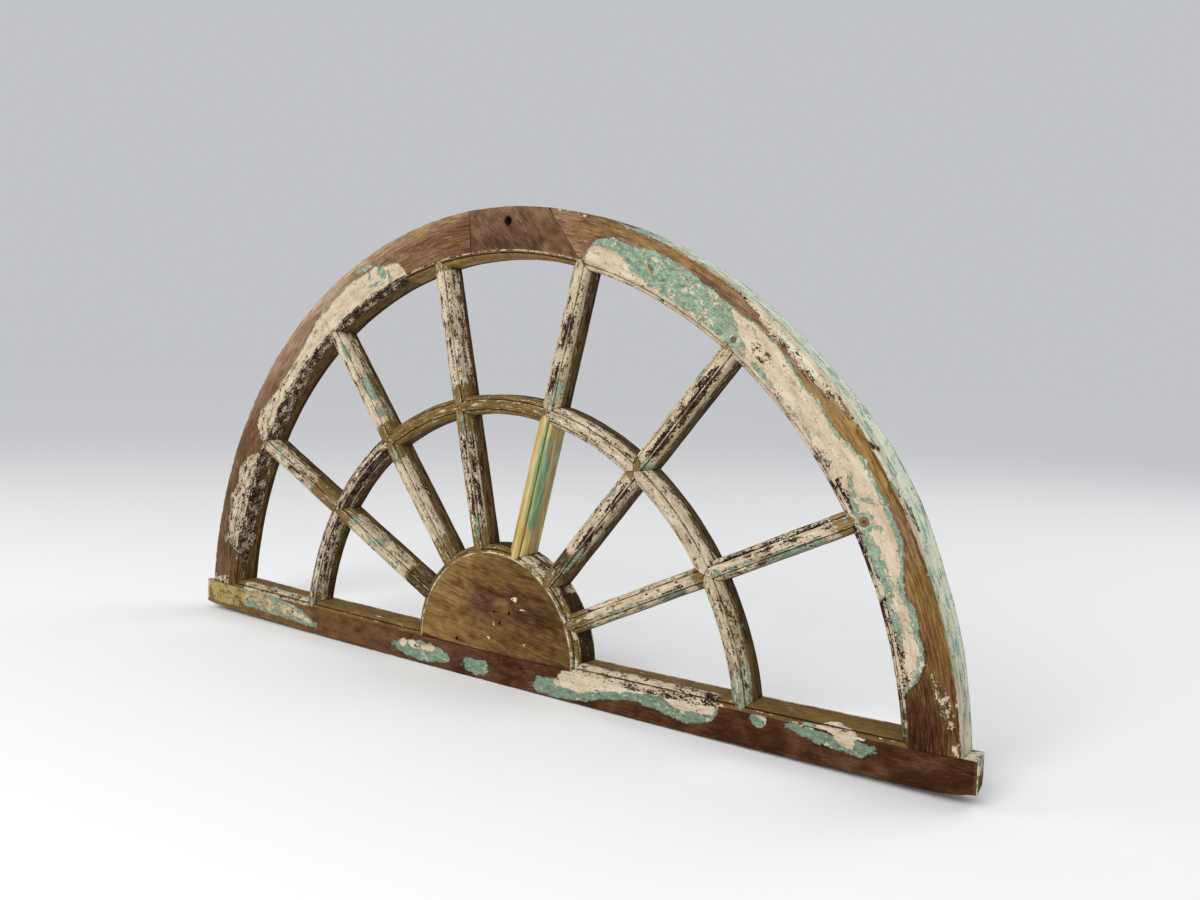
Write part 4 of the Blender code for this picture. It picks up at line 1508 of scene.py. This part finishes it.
    def make(self):
        """Lay every coat and hand the material back."""
        self.add_wood()
        self.add_dirt()
        self.add_green()
        self.add_cream()
        self.add_flakes()
        film = self.maths("MAXIMUM", self.cream_film, self.green_film)
        roughness = self.maths("MULTIPLY_ADD", film, -0.08, 0.70)
        roughness = self.maths("MULTIPLY_ADD", self.cloud, 0.12, roughness)
        self.shader.inputs["Specular IOR Level"].default_value = 0.08
        return self.finish(self.body, roughness, self.relief(), 0.85, 0.0009)


# What the painted timbers share unless their own look says otherwise. Pairs are the size of a
# pattern's cells in millimetres, along and across the grain. Films of paint are torn in the cells
# of 'tear' and made ragged in those of 'rag', to a depth of 'torn' and 'ragged'; flakes lie in
# clusters; 'chips' and 'fresh' are levels, and the other numbers are strengths.
SHARED_LOOK = {
    "torn": 8.0, "crack": 0.0, "chips": 0.62, "grey": 0.0, "mottle": 1.0,
    "figure": (60.0, 9.0),
}
LOOKS = {
    "arch_timber": {
        "grain": (34.0, 2.6), "contrast": 1.3, "rag": (12.0, 9.0), "ragged": 9.0,
        "tear": (3.4, 2.6), "flake": (3.2, 2.4), "cluster": (16.0, 9.0),
        "stain": 0.25, "scratch": 0.5, "brush": 0.12, "crack": 0.8, "glaze": 0.45, "chips": 0.60,
        "yellow": 0.15, "mottle": 0.6, "fresh": 0.455, "scratches": (13.0, 1.4)},
    "crown_timber": {
        "grain": (30.0, 1.6), "contrast": 0.9, "rag": (8.0, 8.0), "ragged": 6.0,
        "tear": (3.0, 3.0), "torn": 6.0, "flake": (4.0, 3.0),
        "cluster": (20.0, 12.0), "stain": 0.3, "scratch": 0.6, "brush": 0.3, "glaze": 0.4,
        "yellow": 0.3, "grey": 0.10, "mottle": 0.6, "fresh": 0.47, "scratches": (18.0, 1.3),
        "figure": (34.0, 14.0)},
    "rail_timber": {
        "grain": (24.0, 2.4), "contrast": 0.45, "rag": (12.0, 8.0), "ragged": 8.0,
        "tear": (3.4, 2.4), "flake": (3.4, 2.3), "cluster": (20.0, 9.0),
        "stain": 0.3, "scratch": 0.25, "brush": 0.4, "crack": 0.4, "glaze": 0.45, "chips": 0.64,
        "yellow": 0.15, "mottle": 0.7, "fresh": 0.5, "scratches": (10.0, 1.4)},
    "hub_timber": {
        "grain": (20.0, 1.1), "contrast": 0.6, "rag": (8.0, 6.0), "ragged": 6.0,
        "tear": (3.0, 2.4), "torn": 7.0, "flake": (4.0, 3.0),
        "cluster": (20.0, 12.0), "stain": 0.5, "scratch": 0.8, "brush": 0.5, "glaze": 0.6,
        "yellow": 0.4, "fresh": 0.52, "scratches": (26.0, 1.2), "figure": (15.0, 11.0)},
    "bar_timber": {
        "grain": (40.0, 3.0), "contrast": 1.5, "rag": (14.0, 4.0), "ragged": 8.0,
        "tear": (4.0, 2.2), "flake": (3.6, 2.2), "cluster": (18.0, 6.0),
        "stain": 0.4, "scratch": 0.55, "brush": 0.55, "glaze": 0.55, "yellow": 0.25,
        "fresh": 0.48, "scratches": (16.0, 1.6)},
}


def timber(context, name):
    """One of the painted timbers, made on first use."""
    found = bpy.data.materials.get(name)
    look = {**SHARED_LOOK, **LOOKS[name]}
    return found or PaintedTimber(name, context.scene.fanlight_paint, look).make()


WASH_YELLOW = ((0.32, (0.22, 0.14, 0.03)), (0.45, (0.43, 0.29, 0.075)), (0.58, (0.55, 0.41, 0.135)),
               (0.75, (0.68, 0.57, 0.30)))
WASH_GREEN = ((0.3, (0.09, 0.16, 0.05)), (0.48, (0.10, 0.27, 0.12)), (0.6, (0.20, 0.40, 0.22)),
              (0.78, (0.42, 0.52, 0.34)))
# Painted shade for the quirk of the smooth bar.
WASH_QUIRK_SHADE = (0.10, 0.045, 0.018)
WASH_DIRT = (0.16, 0.10, 0.03)


def washed_timber():
    """Material of the smooth replacement bar: yellow with green rubbed over it."""
    mix = Recipe("washed_timber")
    streak = mix.pattern((70.0, 2.4), 4.0, 0.6, 0.0, 0.4)
    wash = mix.pattern((55.0, 4.5), 4.0, 0.6, 5.0)
    yellow = mix.tones(mix.pattern((80.0, 5.0), 3.0, 0.6, 9.0), WASH_YELLOW)
    green = mix.tones(mix.pattern((40.0, 5.0), 4.0, 0.65, 2.0), WASH_GREEN)
    film = mix.vary(mix.attribute("green"), wash, 22.0)
    body = mix.mark(yellow, green, film, -2.0, 2.5, 0.92)
    # Painted shade where the stored cream is low, which is only in the quirk.
    body = mix.mark(body, WASH_QUIRK_SHADE, mix.attribute("cream"), 1.0, -1.0, 0.9)
    dirt = mix.pattern((30.0, 5.0), 3.0, 0.6, 15.0)
    body = mix.mark(body, WASH_DIRT, dirt, 0.7, 0.4, mix.attribute("grime"))
    roughness = mix.maths("MULTIPLY_ADD", wash, 0.2, 0.4)
    return mix.finish(body, roughness, streak, 0.4, 0.0005)


def peg_timber(name, colour):
    """Fine speckled end grain of a peg."""
    mix = Recipe(name)
    fine = mix.pattern((1.2, 1.2, 6.0), 3.0, 0.6)
    body = mix.tones(fine, ((0.3, scaled(colour, 0.4)), (0.6, colour)))
    return mix.finish(body, 0.75, fine, 0.6, 0.0005)


def floor_material(name, colour):
    """Even matt floor that pales a little with distance, so that it meets the backdrop softly."""
    mix = Recipe(name)
    place = mix.nodes.new("ShaderNodeTexCoord")
    distance = mix.nodes.new("ShaderNodeVectorMath")
    distance.operation = "LENGTH"
    mix.feed(distance.inputs[0], place.outputs["Object"])
    far = mix.ramp_between(distance.outputs["Value"], 2.0, 9.0)
    mix.feed(mix.shader.inputs["Base Color"], mix.over(colour, (1.0, 1.0, 1.0), far))
    mix.shader.inputs["Roughness"].default_value = 0.95
    mix.shader.inputs["Specular IOR Level"].default_value = 0.0
    return mix.material


# ------------------------------------------------------------------ finishing a piece

def as_object(bm, name):
    """Scale a finished bmesh to metres and link it as an object at the origin."""
    bmesh.ops.remove_doubles(bm, verts=bm.verts, dist=MERGE)
    bmesh.ops.dissolve_degenerate(bm, edges=bm.edges, dist=MERGE / 2.0)
    bmesh.ops.recalc_face_normals(bm, faces=bm.faces)
    for vert in bm.verts:
        camber(vert)
    bmesh.ops.scale(bm, vec=(MM, MM, MM), verts=bm.verts)
    mesh = bpy.data.meshes.new(name)
    bm.to_mesh(mesh)
    bm.free()
    mesh.shade_smooth()
    mesh.set_sharp_from_angle(angle=math.radians(SHARP))
    piece = bpy.data.objects.new(name, mesh)
    bpy.context.scene.collection.objects.link(piece)
    return piece


def finish_piece(bm, name, material, slot, nodes):
    """Make the object, hang it under the frame's root, and hide the CAD nodes it stands for."""
    piece = as_object(bm, name)
    piece.data.materials.append(material)
    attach(piece, "root")
    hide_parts(*nodes)
    return piece


def make_timber(plan, kind, section, place, coat_of, uneven=0.45, scars=(), chipped=None, lie=None,
                dark_ends=True):
    """Straight stock, bent, scarred, dressed and worn."""
    steps = STEPS_ALONG[kind]
    bm = straight_stock(section, steps)
    bend(bm, place, steps, lie)
    bmesh.ops.recalc_face_normals(bm, faces=bm.faces)
    for start, end, width, depth in scars:
        scar(bm, plan, start, end, width, depth)
    dress(bm, coat_of, dark_ends)
    ruffle(bm, uneven, chipped)
    return bm


def join(bm, part):
    """Add a second bmesh to the first."""
    mesh = bpy.data.meshes.new("part")
    part.to_mesh(mesh)
    part.free()
    bm.from_mesh(mesh)
    bpy.data.meshes.remove(mesh)


def turned(degrees):
    """Figure of the wood running at an angle across the face."""
    turn = math.radians(degrees)

    def lie(point):
        along = point.x * math.cos(turn) + point.z * math.sin(turn)
        return (along, point.z * math.cos(turn) - point.x * math.sin(turn), point.y)
    return lie


def pit(x, z, size, depth):
    """A round pit in the face, as a scar that starts and ends at one spot."""
    return ((x, z), (x, z), size, depth)


def arch_pit(plan, angle, radius, size, depth):
    """A round pit in the arch's face, at an angle and a radius about the arch centre."""
    point = on_circle(plan.arch_z, radius, angle)
    return pit(point.x, point.z, size, depth)


def bore(bm, centre, radius, plan):
    """Drill a clean round hole right through."""
    drill = bmesh.new()
    bmesh.ops.create_cone(
        drill, cap_ends=True, segments=40, radius1=radius, radius2=radius, depth=plan.depth * 2,
        matrix=Matrix.Translation(centre) @ Matrix.Rotation(math.radians(90.0), 4, "X"))
    pieces = []
    for name, part in (("drilled", bm), ("drill", drill)):
        mesh = bpy.data.meshes.new(name)
        part.to_mesh(mesh)
        part.free()
        item = bpy.data.objects.new(name, mesh)
        bpy.context.scene.collection.objects.link(item)
        pieces.append(item)
    cut = pieces[0].modifiers.new("hole", "BOOLEAN")
    cut.operation = "DIFFERENCE"
    cut.solver = "EXACT"
    cut.object = pieces[1]
    graph = bpy.context.evaluated_depsgraph_get()
    result = bmesh.new()
    result.from_object(pieces[0], graph)
    for item in pieces:
        bpy.data.meshes.remove(item.data)
    return result


# ------------------------------------------------------------------ settings

class FanlightSize(bpy.types.PropertyGroup):
    """Sizes of the frame."""
    frame_depth: bpy.props.FloatProperty(
        name="Frame Depth", description="Thickness of the rail, arch and hub",
        default=0.042, min=0.02, max=0.1, unit="LENGTH")
    bar_depth: bpy.props.FloatProperty(
        name="Bar Depth", description="Thickness of the glazing bars",
        default=0.036, min=0.018, max=0.1, unit="LENGTH")
    rail_length: bpy.props.FloatProperty(
        name="Rail Length", description="Length of the bottom rail with its horns",
        default=1.432, min=0.5, max=3.0, unit="LENGTH")
    rail_height: bpy.props.FloatProperty(
        name="Rail Height", description="Height of the rail's flat face",
        default=0.044, min=0.02, max=0.2, unit="LENGTH")
    arch_radius: bpy.props.FloatProperty(
        name="Arch Radius", description="Outer radius of the arch",
        default=0.700, min=0.3, max=1.5, unit="LENGTH")
    arch_face: bpy.props.FloatProperty(
        name="Arch Face", description="Width of the arch's flat face",
        default=0.060, min=0.02, max=0.2, unit="LENGTH")
    arch_centre: bpy.props.FloatProperty(
        name="Arch Centre", description="Height that the arch is struck from",
        default=-0.012, min=-0.2, max=0.2, unit="LENGTH")
    hub_radius: bpy.props.FloatProperty(
        name="Hub Radius", description="Radius of the hub's flat face",
        default=0.148, min=0.05, max=0.4, unit="LENGTH")
    ring_radius: bpy.props.FloatProperty(
        name="Ring Radius", description="Radius of the ring's middle line",
        default=0.422, min=0.2, max=1.0, unit="LENGTH")


class FanlightPaint(bpy.types.PropertyGroup):
    """Colours of the paint layers and the studio."""
    cream: bpy.props.FloatVectorProperty(
        name="Cream", description="Clean cream top coat", subtype="COLOR", size=3,
        default=(0.63, 0.54, 0.40), min=0.0, max=1.0)
    cream_shade: bpy.props.FloatVectorProperty(
        name="Cream Shade", description="Darker, pinker parts of the cream coat", subtype="COLOR",
        size=3, default=(0.52, 0.41, 0.285), min=0.0, max=1.0)
    green: bpy.props.FloatVectorProperty(
        name="Green", description="Old green coat under the cream", subtype="COLOR", size=3,
        default=(0.215, 0.305, 0.215), min=0.0, max=1.0)
    ochre: bpy.props.FloatVectorProperty(
        name="Ochre", description="Cream turned yellow by dirt and moss", subtype="COLOR", size=3,
        default=(0.38, 0.29, 0.09), min=0.0, max=1.0)
    mint: bpy.props.FloatVectorProperty(
        name="Mint", description="Thin pale wash on the outer rim", subtype="COLOR", size=3,
        default=(0.67, 0.74, 0.57), min=0.0, max=1.0)
    grime: bpy.props.FloatVectorProperty(
        name="Grime", description="Olive dirt in the worn parts", subtype="COLOR", size=3,
        default=(0.085, 0.064, 0.024), min=0.0, max=1.0)
    floor: bpy.props.FloatVectorProperty(
        name="Floor", description="Studio floor", subtype="COLOR", size=3,
        default=(0.90, 0.90, 0.89), min=0.0, max=1.0)


# ------------------------------------------------------------------ operators

def face_arris(plan):
    """Chips along the outer front arris of the arch."""
    def loss(spot):
        return 1.1 if spot.y > plan.face - 2.0 and spot.z < 2.2 else 0.0
    return loss


class FANLIGHT_OT_arch(bpy.types.Operator):
    """Build the left limb, the crown and the right limb"""
    bl_idname = "fanlight.arch"
    bl_label = "Arch"

    def execute(self, context):
        plan = plan_of(context)
        section = arch_section(plan)
        coat_of = partial(arch_coat, plan)
        chipped = face_arris(plan)
        painted, bare = timber(context, "arch_timber"), timber(context, "crown_timber")

        def foot(radius):
            return math.degrees(math.asin((plan.rail_top + GAP - plan.arch_z) / radius))

        def left_joint(radius, side):
            return JOINT_LEFT + side * math.degrees(GAP / radius)

        place = arch_place(plan, lambda radius: 180.0 - foot(radius), lambda radius: left_joint(radius, 1))
        scars = [
            ((-370, 508), (-384, 524), 2.6, 2.2), arch_pit(plan, 101.6, 652, 1.4, 2.5),
            ((-560, 296), (-566, 290), 2.0, 1.5),
        ]
        limb = make_timber(plan, "left_limb", section, place, coat_of, scars=scars, chipped=chipped)
        finish_piece(limb, "left_limb", painted, "bare_arch", ["arch_left"])

        place = arch_place(
            plan, lambda radius: left_joint(radius, -1), lambda radius: joint_angle(plan, radius)[0])
        crown = make_timber(
            plan, "crown", section, place, partial(crown_coat, plan), uneven=0.4, chipped=chipped,
            lie=turned(-38.0))
        angle, radius, hole = BOLT_HOLE
        crown = bore(crown, on_circle(plan.arch_z, radius, angle), hole, plan)
        finish_piece(crown, "crown", bare, "bare_arch", ["arch_crown"])

        gouge_top = on_circle(plan.arch_z, 673, 67.5)
        gouge_end = on_circle(plan.arch_z, 661, 66.3)
        scars = [
            ((gouge_top.x, gouge_top.z), (gouge_end.x, gouge_end.z), 2.4, 2.2),
            arch_pit(plan, 64.8, 658, 2.2, 1.2), ((686, 84), (695, 52), 1.2, 3.0),
            ((386, 494), (392, 484), 1.6, 2.0),
        ]
        scars += [arch_pit(plan, peg[0], peg[1], peg[2] + 0.6, 2.4) for peg in PEGS]
        place = arch_place(plan, lambda radius: limb_start(plan, radius), foot)
        limb = make_timber(plan, "right_limb", section, place, coat_of, scars=scars, chipped=chipped)
        finish_piece(limb, "right_limb", painted, "flaked_cream", ["arch_right"])
        return {"FINISHED"}


class FANLIGHT_OT_rail(bpy.types.Operator):
    """Build the bottom rail and its moulded strips"""
    bl_idname = "fanlight.rail"
    bl_label = "Rail"

    def execute(self, context):
        plan = plan_of(context)

        def chipped(spot):
            bottom = spot.y < 1.5 and spot.z < 1.5
            horn = spot.y > plan.rail_top - 1.5 and spot.z < 1.5 and abs(spot.x) > plan.arris
            return 0.9 if bottom or horn else 0.0

        scars = [
            ((664, 38), (712, 30), 0.9, 2.0), pit(56, 31, 1.7, 3.0), pit(430, 20, 1.5, 2.5),
            pit(262, 18, 1.4, 2.5), pit(650, 30, 1.4, 2.0), pit(112, 12, 1.3, 2.0),
        ]
        rail = make_timber(
            plan, "rail", square_section(0.0, plan.rail_top, plan), rail_place(plan),
            partial(rail_coat, plan), uneven=0.5, scars=scars, chipped=chipped, dark_ends=False)
        for side in (-1, 1):
            strip = make_timber(
                plan, "strip", strip_section(plan), strip_place(plan, side),
                partial(strip_coat, plan), uneven=0.4)
            join(rail, strip)
        finish_piece(rail, "bottom_rail", timber(context, "rail_timber"), "bare_rail", ["rail"])
        return {"FINISHED"}


class FANLIGHT_OT_hub(bpy.types.Operator):
    """Build the half-round hub"""
    bl_idname = "fanlight.hub"
    bl_label = "Hub"

    def execute(self, context):
        plan = plan_of(context)
        scars = [pit(x, z, size, 4.0) for x, z, size in HUB_NAILS]
        scars.append(((-20, 140), (20, 122), 1.0, 0.6))
        hub = make_timber(
            plan, "hub", hub_section(plan), hub_place(plan), partial(hub_coat, plan), uneven=0.5,
            scars=scars, lie=turned(-8.0))
        finish_piece(hub, "hub_block", timber(context, "hub_timber"), "bare_hub", ["hub"])
        return {"FINISHED"}


class FANLIGHT_OT_spokes(bpy.types.Operator):
    """Build the six radial bars, each in an inner and an outer length"""
    bl_idname = "fanlight.spokes"
    bl_label = "Radial Bars"

    def execute(self, context):
        plan = plan_of(context)
        section = bar_section(plan)
        for index in range(1, len(BAR_ANGLES) + 1):
            for inner in (True, False):
                coat_of, uneven = partial(bar_coat, plan, index, inner), 0.45
                material, slot = timber(context, "bar_timber"), "flaked_cream"
                if inner and index == SMOOTH_BAR:
                    coat_of, uneven = washed_coat, 0.2
                    material, slot = washed_timber(), "washed_green"
                place = bar_place(plan, index, inner)
                bar = make_timber(plan, "radial_bar", section, place, coat_of, uneven)
                name = "%s_%d" % ("inner" if inner else "outer", index)
                finish_piece(bar, "bar_" + name, material, slot, ["spoke_" + name])
        return {"FINISHED"}


class FANLIGHT_OT_ring(bpy.types.Operator):
    """Build the seven curved bars of the ring"""
    bl_idname = "fanlight.ring"
    bl_label = "Ring"

    def execute(self, context):
        plan = plan_of(context)
        section = bar_section(plan)
        for index in range(1, len(BAR_ANGLES) + 2):
            place = ring_place(plan, index)
            bar = make_timber(plan, "curved_bar", section, place, partial(ring_coat, plan, index))
            slot = "flaked_olive" if index in BARE_RING_BARS else "flaked_cream"
            finish_piece(bar, "curved_bar_%d" % index, timber(context, "bar_timber"), slot,
                         ["ring_%d" % index])
        return {"FINISHED"}


class FANLIGHT_OT_pegs(bpy.types.Operator):
    """Build the two pegs in the right limb"""
    bl_idname = "fanlight.pegs"
    bl_label = "Pegs"

    def execute(self, context):
        plan = plan_of(context)
        for number, (angle, radius, size, sunk, colour, hollow) in enumerate(PEGS, 1):
            bm = bmesh.new()
            bmesh.ops.create_cone(
                bm, cap_ends=True, segments=32, radius1=size, radius2=size * 0.97,
                depth=PEG_LENGTH, matrix=Matrix.Rotation(math.radians(90.0), 4, "X"))
            middle = plan.front + sunk + PEG_LENGTH / 2
            bmesh.ops.translate(
                bm, verts=bm.verts, vec=on_circle(plan.arch_z, radius, angle, middle))
            front = [face for face in bm.faces if face.normal.y < -0.9]
            for width, fall in ((size * 0.15, 0.0), (size * 0.45, 0.35), (size * 0.18, 1.6)):
                bmesh.ops.inset_region(
                    bm, faces=front, thickness=width, depth=-fall if hollow else 0.0)
            if hollow:
                for face in front:
                    face.material_index = 1
            grain = bm.verts.layers.float_vector.new("grain")
            for vert in bm.verts:
                vert[grain] = vert.co
            material = peg_timber("peg_timber_%d" % number, colour)
            peg = finish_piece(bm, "peg_end_%d" % number, material, "peg_wood", ["peg_%d" % number])
            if hollow:
                peg.data.materials.append(peg_timber("peg_hole", PEG_HOLLOW))
        return {"FINISHED"}


class FANLIGHT_OT_studio(bpy.types.Operator):
    """Set up the floor, the soft lights and the camera"""
    bl_idname = "fanlight.studio"
    bl_label = "Studio"

    # Name, place, side of the square and power of each light.
    LIGHTS = (
        ("key_light", (0.5, -3.2, 2.3), 2.0, 88.0),
        ("fill_light", (-2.8, -2.0, 1.7), 2.4, 26.0),
        ("back_light", (1.6, 2.6, 2.8), 2.6, 34.0),
    )
    LIGHTS_AIM = (0.0, 0.0, 0.35)
    AIR_COLOUR = (0.86, 0.88, 0.92, 1.0)
    AIR_STRENGTH = 0.62
    CAMERA_PLACE = (1.0912, -1.2148, 0.4735)
    CAMERA_TURN = (85.56, -1.705, 37.241)
    FOCAL_LENGTH = 33.386
    FLOOR_HALF = 30.0

    def execute(self, context):
        self.lay_floor(context)
        self.hang_lights(context)
        self.set_camera(context)
        return {"FINISHED"}

    def lay_floor(self, context):
        """A large plain floor at the foot of the frame."""
        paint = context.scene.fanlight_paint
        bm = bmesh.new()
        bmesh.ops.create_grid(bm, x_segments=2, y_segments=2, size=self.FLOOR_HALF)
        mesh = bpy.data.meshes.new("floor")
        bm.to_mesh(mesh)
        bm.free()
        floor = bpy.data.objects.new("floor", mesh)
        floor.data.materials.append(floor_material("studio_floor", tuple(paint.floor)))
        context.scene.collection.objects.link(floor)

    def hang_lights(self, context):
        """Three soft lights and an even pale light from all round."""
        for name, spot, size, power in self.LIGHTS:
            light = bpy.data.lights.new(name, "AREA")
            light.shape = "SQUARE"
            light.size = size
            light.energy = power
            lamp = bpy.data.objects.new(name, light)
            lamp.location = spot
            aim = Vector(self.LIGHTS_AIM) - Vector(spot)
            lamp.rotation_euler = aim.to_track_quat("-Z", "Y").to_euler()
            context.scene.collection.objects.link(lamp)

        world = bpy.data.worlds.new("studio_air")
        world.use_nodes = True
        sky = world.node_tree.nodes["Background"]
        sky.inputs["Color"].default_value = self.AIR_COLOUR
        sky.inputs["Strength"].default_value = self.AIR_STRENGTH
        context.scene.world = world

    def set_camera(self, context):
        """The camera, and plain colours in the picture."""
        lens = bpy.data.cameras.new("camera")
        lens.lens = self.FOCAL_LENGTH
        lens.sensor_width = 36.0
        lens.clip_end = 50.0
        camera = bpy.data.objects.new("camera", lens)
        camera.location = self.CAMERA_PLACE
        camera.rotation_euler = [math.radians(turn) for turn in self.CAMERA_TURN]
        context.scene.collection.objects.link(camera)
        context.scene.camera = camera
        context.scene.view_settings.view_transform = "Standard"


class FANLIGHT_PT_panel(bpy.types.Panel):
    """Sizes, colours and steps of the fanlight"""
    bl_label = "Painted Fanlight"
    bl_idname = "FANLIGHT_PT_panel"
    bl_space_type = "VIEW_3D"
    bl_region_type = "UI"
    bl_category = "Fanlight"

    def draw(self, context):
        for group in (context.scene.fanlight_size, context.scene.fanlight_paint):
            box = self.layout.box()
            for name in group.__annotations__:
                box.prop(group, name)
        for step in STEPS:
            self.layout.operator(step.bl_idname)


STEPS = (FANLIGHT_OT_arch, FANLIGHT_OT_rail, FANLIGHT_OT_hub, FANLIGHT_OT_spokes, FANLIGHT_OT_ring,
         FANLIGHT_OT_pegs, FANLIGHT_OT_studio)
CLASSES = (FanlightSize, FanlightPaint) + STEPS + (FANLIGHT_PT_panel,)


def register():
    """Register the classes and hang the settings on the scene."""
    for item in CLASSES:
        bpy.utils.register_class(item)
    bpy.types.Scene.fanlight_size = bpy.props.PointerProperty(type=FanlightSize)
    bpy.types.Scene.fanlight_paint = bpy.props.PointerProperty(type=FanlightPaint)


def unregister():
    """Take the settings and classes away again."""
    del bpy.types.Scene.fanlight_paint
    del bpy.types.Scene.fanlight_size
    for item in reversed(CLASSES):
        bpy.utils.unregister_class(item)


def main():
    """Run every step in order."""
    register()
    for step in STEPS:
        group, name = step.bl_idname.split(".")
        getattr(getattr(bpy.ops, group), name)()


if __name__ == "__main__":
    main()
